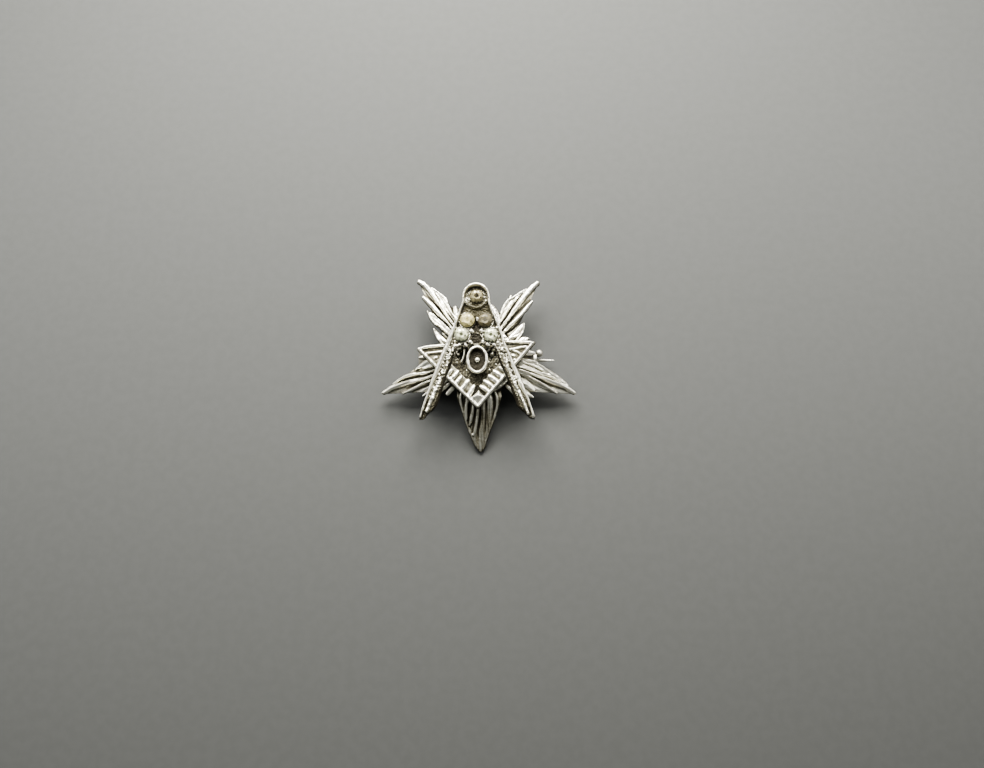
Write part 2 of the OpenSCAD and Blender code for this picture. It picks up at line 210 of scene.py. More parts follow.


# Plated steel of the pin and the catch, and the same steel much darker on the bar and the rivet
pinLook = {
    "bright": rgb(0.72, 0.7, 0.63), "dull": rgb(0.4, 0.39, 0.33), "stain": rgb(0.08, 0.07, 0.045),
    "broad": (1.8, 4.0, 0.6), "drawn": (0.5, 3.0, 0.6, (0.12, 1.0, 1.0)), "fine": (0.12, 2.0, 0.5),
    "filmParts": (0.5, 0.5), "filmFrom": (0.38, 0.62), "filmRough": 0.12,
    "stainParts": (0.7, 0.3), "stainFrom": (0.56, 0.7), "stainRough": 0.3, "stainTint": 0.7,
    "stainCover": 0.5, "rough": 0.36, "lines": 0.25, "lineDepth": 0.03, "pitting": 0.2, "pitDepth": 0.02,
}
barLook = dict(
    pinLook, bright=rgb(0.17, 0.165, 0.14), dull=rgb(0.09, 0.085, 0.07), stain=rgb(0.035, 0.03, 0.02),
    rough=0.5,
)


def fittingMetal(name, look):
    s = Shader(name)
    broad = s.speckle(*look["broad"])
    drawn = s.speckle(*look["drawn"])
    fine = s.speckle(*look["fine"])
    part, rest = look["filmParts"]
    film = (broad * part + drawn * rest).between(*look["filmFrom"])
    part, rest = look["stainParts"]
    stain = (broad * part + fine * rest).between(*look["stainFrom"])
    colour = s.mix(stain * look["stainTint"], s.mix(film, look["bright"], look["dull"]), look["stain"])
    lines = s.bump(drawn, look["lines"], look["lineDepth"])
    pits = s.bump(fine, look["pitting"], look["pitDepth"], lines)
    rough = look["rough"] + film * look["filmRough"] + stain * look["stainRough"]
    metallic = 1.0 - stain * look["stainCover"]
    return s.finish({"Base Color": colour, "Metallic": metallic, "Roughness": rough, "Normal": pits})


# Points of an oval
def oval(x, y, a, b, count):
    turns = np.linspace(0, 2 * math.pi, count + 1)[:-1]
    return [(x + a * math.cos(k), y + b * math.sin(k)) for k in turns]


# Points of an arc between two bearings in degrees
def arc(x, y, radius, first, last, count):
    turns = np.radians(np.linspace(first, last, count))
    return [(x + radius * math.cos(k), y + radius * math.sin(k)) for k in turns]


# Points of a smooth curve through a few chosen ones
def through(points, steps=6):
    pts = np.array(points, float)
    if len(pts) == 2:
        return np.linspace(pts[0], pts[1], steps + 1)
    pts = np.vstack([2 * pts[0] - pts[1], pts, 2 * pts[-1] - pts[-2]])
    made = []
    for i in range(1, len(pts) - 2):
        p0, p1, p2, p3 = pts[i - 1:i + 3]
        for t in np.arange(steps) / steps:
            made.append(0.5 * (2 * p1 + (p2 - p0) * t + (2 * p0 - 5 * p1 + 4 * p2 - p3) * t * t
                               + (3 * p1 - p0 - 3 * p2 + p3) * t ** 3))
    made.append(pts[-2])
    return np.array(made)


def smooth(t):
    t = np.clip(t, 0.0, 1.0)
    return t * t * (3.0 - 2.0 * t)


# 0 above a place, 1 from a length below it on
def below(y, start, length):
    return smooth((start - y) / length)


# Closed shapes gathered for one skin
class Casting:
    def __init__(self):
        self.points = []
        self.faces = []

    def loft(self, rings, closed=False):
        first = len(self.points)
        count = len(rings[0])
        for ring in rings:
            self.points.extend(tuple(p) for p in ring)
        steps = len(rings) if closed else len(rings) - 1
        for i in range(steps):
            a = first + i * count
            b = first + (i + 1) % len(rings) * count
            self.faces.extend((a + k, a + (k + 1) % count, b + (k + 1) % count, b + k) for k in range(count))
        if not closed:
            last = first + (len(rings) - 1) * count
            self.faces.append(tuple(first + k for k in reversed(range(count))))
            self.faces.append(tuple(last + k for k in range(count)))

    # Flat plate with a given outline, between two levels
    def slab(self, outline, low, high, inset=0.0):
        middle = np.mean(np.array(outline), axis=0)
        top = [tuple(middle + (np.array(p) - middle) * (1.0 - inset)) for p in outline]
        self.loft([[(x, y, low) for x, y in outline], [(x, y, high) for x, y in top]])

    # Rounded lump on a foot, flat at the very top
    def lump(self, x, y, low, high, radius):
        foot, corners = 0.15, 14
        rings = []
        for a in np.linspace(0.0, math.pi / 2 * 0.94, 7):
            r, z = radius * math.cos(a), low + (high - low) * math.sin(a)
            rings.append([(px, py, z) for px, py in oval(x, y, r, r, corners)])
        rings.insert(0, [(px, py, low - foot) for px, py, z in rings[0]])
        self.loft(rings)

    # Round-topped ridge along a path, wide and high as told at each point of it
    def ridge(self, path, widths, crests, low, place=None, roundness=0.6, closed=False):
        place = place or (lambda x, y, h: (x, y, h))
        path = np.array(path, float)
        widths = np.broadcast_to(np.array(widths, float), len(path)).copy()
        crests = np.broadcast_to(np.array(crests, float), len(path)).copy()
        if closed:
            ahead = np.roll(path, -1, 0) - np.roll(path, 1, 0)
        else:
            ahead = np.gradient(path, axis=0)
        ahead /= np.linalg.norm(ahead, axis=1)[:, None]
        # An open ridge runs on a little past both ends, narrower and lower
        if not closed:
            reach, narrow, drop = 0.55, 0.5, 0.3
            first = path[0] - ahead[0] * widths[0] * reach
            last = path[-1] + ahead[-1] * widths[-1] * reach
            path = np.vstack([first, path, last])
            ahead = np.vstack([ahead[0], ahead, ahead[-1]])
            widths = np.concatenate([[widths[0] * narrow], widths, [widths[-1] * narrow]])
            ends = [[low + (crest - low) * (1 - drop)] for crest in (crests[0], crests[-1])]
            crests = np.concatenate([ends[0], crests, ends[1]])
        rings = []
        for p, t, w, top in zip(path, ahead, widths, crests):
            ring = []
            for a in np.linspace(0.0, math.pi, 11):
                across = w * math.cos(a)
                h = low + (top - low) * math.sin(a) ** roundness if 0.0 < a < math.pi else low
                ring.append(place(p[0] + t[1] * across, p[1] - t[0] * across, h))
            rings.append(ring)
        self.loft(rings, closed)

    # Standing ring round a point, oval if two radii differ
    def hoop(self, x, y, a, b, half, low, high, sides=40):
        self.ridge(oval(x, y, a, b, sides), half, high, low, closed=True)


# The star: an arm's bearing and droop in degrees, its length, half the angle of its plate, and how far its
# sides fall away from the middle. Spots of stains and painted shade, and lumps: place, size, then how dark or
# first how high.
star = {
    "bend": 5.5, "rootHeight": 1.2, "tipHeight": 0.74, "heightFall": 1.3, "sideFall": 0.6, "lowest": 0.34,
    "wideBy": 0.6, "taperFrom": 0.72, "taper": 1.5, "ridgeFoot": 0.03, "ridgeRoot": 5.0,
    "plateRoot": 0.66, "plateTip": 0.36, "plateFrom": 1.0, "plateShort": 0.35, "plateSteps": 12,
    "plateHalf": 0.12, "plateEdge": 0.16, "plateFoot": 0.02,
    "seatRadius": 5.0, "seatHeight": 1.2, "seatInset": 0.03, "seatGap": 0.07,
    "voxel": 0.075, "soften": 2, "keep": 0.7, "uneven": 0.03, "pebbles": (1.05, 1.4, 0.26, 0.16),
    # Painted shade and light over whole arms: darker on the lower arm, brighter on the side arms
    "paintedArmShade": {"lower": 0.25, "right": -0.19, "left": -0.07},
    # Spots of stains and painted shade, mostly under the square and the compasses
    "stainsAndShadeUnder": 2.6,
    "stainsAndShade": [(-0.2, -2.5, 1.2, 0.5), (1.5, 1.2, 1.2, 0.05), (0.9, -8.4, 1.3, 0.2), (-0.3, -7.2, 0.9, 0.25),
               (-3.06, 6.1, 0.9, 0.2)],
    "flange": [(-1.9, 1.1), (-2.02, 0.2), (-2.34, -0.65)], "flangeHalf": 0.19, "flangeTop": 2.15,
    "lumpFoot": 1.0,
    "lumps": [(1.8, 0.5, 2.1, 0.4), (1.95, 1.1, 1.9, 0.3), (2.5, 0.62, 1.9, 0.24), (-2.75, 0.5, 1.9, 0.26),
              (-2.5, 1.3, 1.8, 0.24), (2.3, -0.9, 1.8, 0.3), (-3.0, -0.6, 1.8, 0.26), (1.4, -1.6, 1.7, 0.3),
              (-1.6, -1.7, 1.7, 0.3)],
    "arms": {
        "upperLeft": {"bearing": 126.5, "length": 14.25, "droop": 5.0, "angle": 12.0, "fall": 0.1},
        "upperRight": {"bearing": 53.8, "length": 13.8, "droop": 5.0, "angle": 12.0, "fall": 0.1},
        "left": {"bearing": 198.3, "length": 13.9, "droop": 9.0, "angle": 17.0, "fall": 0.16},
        "right": {"bearing": -18.3, "length": 13.9, "droop": 9.0, "angle": 17.0, "fall": 0.16},
        "lower": {"bearing": -89.5, "length": 12.6, "droop": 17.5, "angle": 22.0, "fall": 0.06},
    },
}
# Ridges of each arm: half width, then as parts of it the half width at the root and at the tip, height as a
# part of the arm's, and the way from the root outwards: distance along the arm and to the left of its middle
ridges = {
    "upperLeft": [
        (0.42, 0.55, 0.88, 1.0, [(2.5, 0.0), (6.97, -0.08), (8.8, -0.28), (10.5, -0.38), (12.1, -0.42),
                                 (13.1, -0.28), (14.15, 0.08)]),
        (0.2, 0.8, 0.6, 0.9, [(2.5, -0.45), (6.4, -0.85), (7.2, -0.84), (8.4, -1.05), (9.4, -1.33),
                              (10.0, -1.36), (11.1, -1.1), (12.2, -0.8)]),
        (0.5, 0.6, 0.5, 0.74, [(2.5, -0.3), (7.0, -0.55), (9.4, -0.92), (11.0, -0.86), (12.3, -0.62)]),
        (0.42, 0.36, 0.5, 0.94, [(2.5, 0.3), (6.3, 0.38), (7.9, 0.5), (9.6, 0.62), (10.9, 0.78),
                                 (11.9, 0.95)]),
        (0.46, 0.6, 0.4, 0.74, [(2.5, 0.6), (5.8, 0.95), (7.4, 1.3), (8.6, 1.45), (9.4, 1.5)]),
        (0.2, 0.8, 0.5, 0.92, [(4.0, 1.1), (6.2, 1.42), (7.2, 1.72), (8.0, 1.88), (8.9, 1.82), (9.8, 1.62)]),
        (0.13, 0.8, 0.5, 0.84, [(3.5, 0.6), (5.8, 0.8), (6.8, 0.97), (8.2, 1.18), (9.0, 1.25)]),
        (0.42, 0.6, 0.25, 0.8, [(2.5, 1.2), (4.2, 2.0), (5.2, 2.42), (6.2, 2.5), (7.2, 2.38)]),
        (0.17, 0.8, 0.5, 0.92, [(2.5, 1.6), (4.4, 2.62), (5.2, 2.78), (6.2, 2.7), (7.15, 2.4)]),
        (0.4, 0.8, 0.5, 0.66, [(2.0, 2.4), (3.2, 3.3), (4.2, 4.0), (4.9, 4.6)]),
        (0.46, 0.8, 0.7, 0.95, [(4.5, -0.8), (6.2, -0.95), (6.9, -1.3), (7.9, -1.75)]),
        (0.3, 0.8, 0.7, 0.74, [(4.5, -1.5), (6.2, -1.9), (7.3, -2.1)]),
    ],
    "upperRight": [
        (0.42, 0.5, 0.9, 1.0, [(2.5, 0.1), (6.9, 0.15), (7.8, 0.19), (9.2, 0.29), (10.5, 0.29), (11.7, 0.26),
                               (12.7, 0.2), (13.8, -0.04)]),
        (0.3, 0.75, 0.35, 1.0, [(2.5, -0.35), (5.6, -0.56), (7.0, -0.74), (8.4, -0.88), (10.1, -0.96),
                                (11.1, -1.03)]),
        (0.62, 0.6, 0.35, 0.76, [(2.5, 0.5), (6.8, 0.95), (8.0, 1.2), (9.2, 1.22), (10.4, 0.9), (12.0, 0.6)]),
        (0.17, 0.8, 0.6, 0.92, [(4.0, 0.75), (6.6, 1.2), (7.0, 1.42), (8.0, 1.72), (9.1, 1.76), (9.9, 1.42),
                                (10.9, 1.12), (12.0, 0.7)]),
        (0.14, 0.8, 0.6, 0.86, [(4.0, 0.5), (7.3, 0.9), (8.2, 1.12), (9.1, 1.12), (10.2, 0.86)]),
        (0.2, 1.0, 0.9, 0.8, [(9.2, 1.55), (9.7, 1.78), (9.95, 1.88)]),
        (0.55, 0.6, 0.25, 0.78, [(2.5, -0.9), (4.6, -1.6), (6.2, -2.0), (7.75, -1.95)]),
        (0.17, 0.8, 0.6, 0.92, [(3.6, -2.2), (4.8, -2.5), (5.9, -2.58), (6.9, -2.4), (7.7, -1.98)]),
        (0.5, 0.6, 0.3, 0.76, [(2.5, -1.5), (4.2, -2.4), (5.6, -3.1), (6.4, -3.7)]),
        (0.3, 0.7, 0.5, 0.72, [(2.5, -2.3), (4.0, -3.3), (5.2, -4.0), (6.1, -4.4)]),
        (0.62, 0.7, 0.75, 1.15, [(4.2, 0.6), (5.5, 0.95), (6.3, 1.9), (6.7, 2.7), (6.9, 3.2)]),
        (0.35, 0.8, 0.8, 1.0, [(4.8, 1.9), (5.7, 2.5), (6.2, 3.0)]),
    ],
    "left": [
        (0.38, 0.5, 0.66, 1.0, [(2.5, 0.1), (7.1, 0.14), (8.4, 0.05), (9.9, -0.15), (11.4, -0.24),
                                (12.5, -0.24), (13.3, -0.08), (13.9, 0.04)]),
        (0.27, 0.7, 0.4, 0.9, [(2.5, -0.3), (6.8, -0.5), (7.9, -0.68), (8.9, -0.96), (9.9, -1.08),
                               (10.8, -1.0), (12.2, -0.66)]),
        (0.2, 0.9, 0.4, 0.9, [(2.5, 0.45), (7.0, 0.64), (7.9, 0.66), (9.1, 0.83), (10.2, 0.95), (11.4, 1.0)]),
        (0.45, 0.9, 0.15, 0.8, [(2.5, -0.9), (5.5, -1.75), (6.6, -1.9), (7.4, -1.78), (8.6, -1.5)]),
        (0.4, 0.7, 0.3, 0.72, [(2.5, -0.6), (5.0, -1.1), (6.6, -1.3), (7.6, -1.36)]),
        (0.36, 0.7, 0.3, 0.7, [(2.5, -1.4), (5.0, -2.3), (6.6, -2.75), (7.7, -2.95)]),
        (0.3, 0.6, 0.35, 0.62, [(2.5, 0.8), (5.5, 1.5), (7.6, 2.0), (8.8, 2.22)]),
        (0.4, 0.6, 0.6, 0.74, [(2.0, 1.1), (3.6, 2.05), (5.0, 2.85), (5.6, 3.15)]),
        (0.34, 0.6, 0.5, 0.7, [(2.5, 1.0), (5.0, 1.95), (6.9, 2.55), (7.6, 2.75)]),
    ],
    "right": [
        (0.33, 0.6, 0.8, 1.0, [(2.5, 0.3), (7.9, 0.38), (9.1, 0.41), (10.2, 0.37), (11.4, 0.32), (12.6, 0.24),
                               (13.9, -0.08)]),
        (0.24, 0.8, 0.5, 0.92, [(2.5, 1.0), (6.7, 2.1), (7.8, 1.96), (8.6, 1.8), (9.8, 1.4), (10.8, 1.22),
                                (12.0, 0.8), (12.6, 0.58)]),
        (0.28, 0.7, 0.5, 0.92, [(3.0, 0.6), (6.8, 0.86), (7.4, 0.92), (8.5, 0.9), (9.3, 1.03), (10.4, 1.12),
                                (11.4, 0.84), (12.3, 0.56)]),
        (0.72, 0.7, 0.3, 0.76, [(2.5, 0.8), (5.5, 1.3), (7.5, 1.45), (9.5, 1.15), (11.8, 0.6), (12.8, 0.35)]),
        (0.2, 0.9, 0.5, 0.92, [(2.5, 0.0), (6.3, 0.08), (7.7, -0.09), (8.9, -0.35), (10.2, -0.61),
                               (11.5, -0.92)]),
        (0.15, 0.9, 0.5, 0.86, [(5.5, 1.6), (7.2, 1.5), (8.4, 1.36)]),
        (0.42, 0.7, 0.35, 0.72, [(2.5, -0.5), (5.5, -0.9), (7.3, -1.3), (8.4, -1.62)]),
        (0.36, 0.7, 0.3, 0.66, [(2.5, -1.0), (5.2, -1.75), (7.4, -2.3), (8.6, -2.5)]),
        (0.34, 0.7, 0.35, 0.7, [(2.5, -1.3), (4.8, -2.3), (6.5, -3.0), (7.9, -3.45)]),
        (0.4, 0.7, 0.4, 0.7, [(2.5, 1.3), (5.0, 2.6), (6.2, 3.1), (6.9, 3.3)]),
    ],
    "lower": [
        (1.5, 1.0, 0.3, 0.72, [(2.5, 0.0), (5.5, 0.0), (7.5, 0.0), (9.5, 0.0), (11.5, 0.0)]),
        (0.34, 0.8, 0.5, 0.86, [(2.5, -0.45), (6.0, -0.75), (7.35, -0.97), (8.8, -1.36)]),
        (0.36, 0.8, 0.7, 0.94, [(2.5, -0.1), (6.2, -0.14), (7.7, -0.27), (9.4, -0.62), (10.2, -0.86)]),
        (0.3, 0.8, 0.7, 0.8, [(9.8, -0.5), (10.6, -0.66), (11.4, -0.5), (12.1, -0.2)]),
        (0.36, 0.8, 0.5, 0.8, [(2.5, -0.9), (5.5, -1.6), (6.8, -1.8), (8.0, -1.76)]),
        (0.26, 0.8, 0.5, 0.74, [(2.5, -1.3), (5.0, -2.5), (7.4, -2.05), (9.1, -1.5), (10.5, -0.98),
                                (11.8, -0.58)]),
        (0.72, 0.8, 0.42, 0.8, [(2.5, 0.3), (7.4, 0.56), (9.9, 0.3), (11.6, 0.22), (12.45, 0.12)]),
        (0.62, 0.8, 0.5, 0.78, [(2.5, 0.8), (6.0, 1.4), (8.5, 1.2), (10.5, 0.76)]),
        (0.28, 0.8, 0.5, 0.78, [(2.5, 1.3), (5.4, 2.4), (7.4, 2.1), (8.8, 1.6), (10.3, 1.02), (12.2, 0.46)]),
        (0.4, 0.8, 0.8, 0.84, [(10.6, 0.0), (11.6, 0.05), (12.4, 0.05)]),
    ],
}
# Grooves cut along the arms: half width, depth, way from the root outwards
grooves = {
    "upperLeft": [
        (0.15, 0.42, [(5.0, 0.2), (6.75, 0.2), (7.7, 0.24), (8.95, 0.2), (9.95, 0.24), (11.05, 0.28),
                      (12.1, 0.36), (12.9, 0.36)]),
        (0.14, 0.42, [(5.5, 0.5), (6.67, 0.62), (7.7, 0.87), (9.2, 1.19), (10.2, 1.4)]),
        (0.17, 0.5, [(4.6, 1.3), (5.45, 1.48), (6.6, 1.72), (7.3, 2.0)]),
        (0.1, 0.34, [(5.5, -0.3), (6.65, -0.38), (7.66, -0.33), (9.05, -0.45), (10.3, -0.62), (11.5, -0.68)]),
        (0.07, 0.16, [(6.6, -0.62), (8.4, -0.76), (9.8, -0.98)]),
        (0.06, 0.14, [(6.6, 1.0), (8.0, 1.36), (8.9, 1.56)]),
    ],
    "upperRight": [
        (0.17, 0.5, [(5.0, 0.05), (6.1, 0.02), (6.9, -0.16), (7.96, -0.24), (9.13, -0.38), (10.8, -0.55),
                     (12.1, -0.55)]),
        (0.17, 0.5, [(4.6, -0.7), (5.2, -0.8), (5.8, -1.12), (6.93, -1.3), (8.0, -1.5), (8.9, -1.5)]),
        (0.1, 0.34, [(5.5, 0.3), (7.0, 0.5), (8.1, 0.62), (9.06, 0.66), (10.3, 0.76), (11.3, 0.66)]),
        (0.07, 0.16, [(6.8, 1.0), (8.0, 1.36), (9.2, 1.4), (10.2, 1.1)]),
        (0.08, 0.2, [(5.0, -1.6), (6.2, -2.25), (7.2, -2.2)]),
    ],
    "left": [
        (0.12, 0.4, [(4.5, -0.05), (6.8, -0.14), (8.4, -0.42), (9.7, -0.62), (10.6, -0.66), (11.6, -0.5)]),
        (0.16, 0.45, [(4.5, 0.4), (7.3, 0.42), (8.7, 0.46), (10.1, 0.5), (11.4, 0.62)]),
        (0.2, 0.5, [(4.5, 0.9), (7.9, 1.15), (8.9, 1.3), (10.2, 1.4)]),
        (0.06, 0.14, [(6.5, -1.4), (8.0, -1.5)]), (0.05, 0.12, [(6.9, 0.08), (8.6, -0.04), (10.4, -0.2)]),
    ],
    "right": [
        (0.12, 0.4, [(4.5, 0.55), (6.9, 0.62), (8.3, 0.64), (9.6, 0.72), (11.0, 0.64)]),
        (0.1, 0.34, [(5.5, 1.3), (7.3, 1.36), (8.7, 1.22), (9.8, 1.2)]),
        (0.22, 0.5, [(4.5, 0.1), (7.0, 0.06), (8.5, 0.0), (9.9, -0.12), (11.3, -0.16), (12.7, -0.12)]),
        (0.18, 0.5, [(4.5, -0.2), (6.9, -0.5), (8.1, -0.86), (9.5, -1.06), (10.6, -1.2)]),
        (0.07, 0.16, [(7.3, 0.7), (8.6, 0.9), (10.3, 0.9), (11.6, 0.55)]),
    ],
    "lower": [
        (0.2, 0.14, [(5.5, -1.4), (7.0, -1.46), (8.35, -1.53), (9.7, -1.3)]),
        (0.2, 0.22, [(5.5, -0.45), (7.35, -0.57), (9.0, -0.8), (10.3, -1.0)]),
        (0.2, 0.2, [(5.5, 0.18), (7.0, 0.12), (8.36, -0.05), (10.0, -0.2), (11.2, -0.1)]),
        (0.16, 0.07, [(5.5, 0.95), (7.0, 0.9), (9.0, 0.72), (10.5, 0.5)]),
    ],
}


# The way from an arm's own coordinates (outwards, to the left, up) to the star's
def armPlace(arm):
    b, d = math.radians(arm["bearing"]), math.radians(arm["droop"])

    def place(u, s, h):
        over = max(0.0, u - star["bend"])
        ease = min(1.0, over)
        along = u - over + over * math.cos(d) + ease * h * math.sin(d)
        z = h * (1.0 + ease * (math.cos(d) - 1.0)) - over * math.sin(d)
        return (along * math.cos(b) - s * math.sin(b), along * math.sin(b) + s * math.cos(b), z)

    return place


def makeStar():
    cast = Casting()
    q = star
    bend, foot = q["bend"], q["plateFoot"]
    for name, arm in q["arms"].items():
        length, fall = arm["length"], arm["fall"]
        place = armPlace(arm)
        spread = math.tan(math.radians(arm["angle"]))
        rings = []
        for u in np.linspace(q["plateFrom"], length - q["plateShort"], q["plateSteps"]):
            half = q["plateHalf"] + min(length - u, length - bend) * spread
            k = smooth((u - bend) / (length - bend))
            top = q["plateRoot"] + (q["plateTip"] - q["plateRoot"]) * k
            edge = max(q["plateEdge"], top - fall * half)
            section = ((-half, foot), (half, foot), (half, edge), (0.0, top), (-half, edge))
            rings.append([place(u, s, h) for s, h in section])
        cast.loft(rings)
        for half, root, tip, tall, way in ridges[name]:
            path = through(way)
            part = np.linspace(0.0, 1.0, len(path))
            widths = half * (root + (1.0 - root) * smooth(part / q["wideBy"]))
            taper = np.clip((part - q["taperFrom"]) / (1.0 - q["taperFrom"]), 0.0, 1.0) ** q["taper"]
            widths *= 1.0 - (1.0 - tip) * taper
            out = np.clip((path[:, 0] - q["ridgeRoot"]) / (length - q["ridgeRoot"]), 0.0, 1.0)
            crests = tall * (q["rootHeight"] + (q["tipHeight"] - q["rootHeight"]) * out ** q["heightFall"])
            crests = crests - fall * q["sideFall"] * np.abs(path[:, 1])
            cast.ridge(path, widths, np.maximum(crests, q["lowest"]), q["ridgeFoot"], place)
    cast.slab(oval(0.0, 0.0, q["seatRadius"], q["seatRadius"], 48), 0.0, q["seatHeight"], q["seatInset"])
    # Small curved flange and lumps beside the ring
    cast.ridge(through(q["flange"]), q["flangeHalf"], q["flangeTop"], q["lumpFoot"])
    for x, y, high, size in q["lumps"]:
        cast.lump(x, y, q["lumpFoot"], high, size)
    return cast


# The square: the strip is a step inside its rim, given from each end of an arm and inwards. The pyramid
# stands in its corner.
square = {
    "corner": (-0.1, -6.97), "turn": 2.6, "half": 43.0, "leftLength": 11.5, "rightLength": 11.85,
    "width": 3.0, "cutBack": 1.9, "level": 1.3, "plate": 0.34, "top": 0.88, "rim": 0.27, "rimIn": 0.9,
    "rimEnds": (0.28, 0.2), "strip": 0.15, "stripOuter": (2.0, 2.0, 0.3), "stripInner": (2.9, 3.2, 1.85),
    "pleatWide": 1.12, "pleatHalves": [0.9, 1.0, 1.0, 1.0, 0.9, 0.7], "pleatRoundness": 0.9,
    "pleatFall": [1.0, 1.0, 0.97, 0.9, 0.78, 0.56],
    "wingPlate": 0.14, "wingRim": 0.25, "innerHalf": 0.2, "innerTop": 0.42, "shortHalf": 0.24,
    "shortTop": 0.36,
    "pyramid": [(-1.1, -5.45), (-0.12, -6.34), (0.9, -5.35), (0.3, -4.8), (-0.03, -4.4), (-0.4, -4.85)],
    "pyramidMiddle": 5.3, "pyramidEdge": 0.26, "peak": (-0.06, -5.15), "peakPart": 0.2, "peakHigh": 0.12,
    # Spots of stains and painted shade over the square
    "stainsAndShadeUnder": 1.95,
    "stainsAndShade": [(-0.25, -4.35, 0.6, 0.16), (-0.2, -2.9, 1.3, 0.1), (-0.2, -1.2, 2.4, 0.12),
               (-2.5, -1.0, 0.9, 0.2), (2.2, -1.0, 0.9, 0.1)],
    "clean": (1.7, 2.04), "voxel": 0.06, "soften": 2, "uneven": 0.045, "pebbles": (1.5, 1.76, 0.2, 0.09),
}
# Pleats: along the rim and inwards where each begins, the same where it ends, half width, height over
# the plate
pleats = {
    1: [(2.73, 0.4, 2.6, 1.85, 0.38, 0.42), (3.56, 0.4, 3.48, 1.95, 0.4, 0.44),
        (4.5, 0.4, 4.36, 1.9, 0.43, 0.46), (5.42, 0.4, 5.3, 1.85, 0.42, 0.44),
        (6.25, 0.36, 6.2, 1.6, 0.36, 0.38), (7.1, 0.36, 7.1, 1.5, 0.36, 0.36)],
    -1: [(2.2, 0.45, 2.62, 2.0, 0.42, 0.44), (3.45, 0.4, 3.65, 2.0, 0.43, 0.44),
         (4.5, 0.36, 4.7, 1.7, 0.38, 0.4), (5.4, 0.4, 5.45, 1.85, 0.4, 0.46),
         (6.25, 0.4, 6.25, 1.5, 0.4, 0.5), (7.1, 0.36, 7.1, 1.4, 0.36, 0.36)],
}
# Ends of both arms, in the star's millimetres: the outline, the level rim, the ridge under it and the short
# lumps of the triangle
wings = {
    "left": {
        "outline": [(-8.36, 1.1), (-8.2, 1.4), (-6.2, 1.78), (-4.4, 1.9), (-3.6, 0.5), (-5.4, -1.8)],
        "rim": [(-8.12, 1.14), (-7.1, 1.44), (-6.1, 1.57), (-4.6, 1.68)],
        "inner": [(-7.1, 0.56), (-6.1, 0.7), (-4.7, 0.84)],
        "lumps": [[(-5.95, 0.0), (-5.55, 0.05)], [(-5.2, 0.1), (-4.9, 0.25)], [(-5.4, -0.5), (-5.0, -0.45)]],
    },
    "right": {
        "outline": [(7.62, 2.04), (7.5, 2.24), (5.4, 2.4), (3.4, 2.34), (3.2, 0.8), (4.8, -1.4)],
        "rim": [(7.36, 1.98), (6.67, 2.1), (5.4, 2.19), (3.7, 2.12)],
        "inner": [(6.4, 1.58), (5.4, 1.36), (4.1, 1.1)],
        "lumps": [[(4.5, 1.0), (5.0, 0.85), (5.5, 0.55)], [(4.4, 0.35), (4.8, 0.25)],
                  [(4.7, -0.3), (4.9, -0.3)]],
    },
}


def makeSquare():
    cast = Casting()
    q = square
    a, t = math.radians(q["half"]), math.radians(q["turn"])
    level = q["level"]
    plate, top = level + q["plate"], level + q["top"]
    for side, length in ((1, q["rightLength"]), (-1, q["leftLength"])):
        outwards = np.array([math.sin(a), math.cos(a)])
        inwards = np.array([-math.cos(a), math.sin(a)])

        # A step along the outer edge and a step inwards
        def at(along, into):
            p = outwards * along + inwards * into
            x = p[0] * side
            return (q["corner"][0] + x * math.cos(t) - p[1] * math.sin(t),
                    q["corner"][1] + x * math.sin(t) + p[1] * math.cos(t))

        width = q["width"]
        middle = width / math.tan(a)
        arm = [at(0.0, 0.0), at(length, 0.0), at(length - q["cutBack"], width), at(middle, width)]
        cast.slab(arm, level, plate)
        (near, far, into), (nearIn, farIn, deep) = q["stripOuter"], q["stripInner"]
        strip = [at(near, into), at(length - far, into), at(length - farIn, deep), at(nearIn, deep)]
        cast.slab(strip, level, plate + q["strip"])
        start, stop = q["rimEnds"]
        rim = [at(k, q["rim"] * q["rimIn"]) for k in np.linspace(start, length - stop, 20)]
        cast.ridge(rim, q["rim"], top, level)
        for along, into, alongEnd, intoEnd, half, high in pleats[side]:
            steps = np.linspace(0, 1, len(q["pleatFall"]))
            way = [at(along + (alongEnd - along) * k, into + (intoEnd - into) * k) for k in steps]
            halves = half * q["pleatWide"] * np.array(q["pleatHalves"])
            crests = plate + high * np.array(q["pleatFall"])
            cast.ridge(way, halves, crests, level, roundness=q["pleatRoundness"])
    for wing in wings.values():
        cast.slab(wing["outline"], level, plate + q["wingPlate"])
        cast.ridge(through(wing["rim"]), q["wingRim"], top, level)
        cast.ridge(through(wing["inner"]), q["innerHalf"], plate + q["innerTop"], level)
        for way in wing["lumps"]:
            cast.ridge(through(way, 3), q["shortHalf"], plate + q["shortTop"], level)
    base = q["pyramid"]
    (px, py), part = q["peak"], q["peakPart"]
    peak = [(x * part + px, (y + q["pyramidMiddle"]) * part + py) for x, y in base]
    edge, point = level + q["plate"] + q["pyramidEdge"], level + q["top"] + q["peakHigh"]
    stages = ((base, level), (base, edge), (peak, point))
    cast.loft([[(x, y, z) for x, y in outline] for outline, z in stages])
    return cast
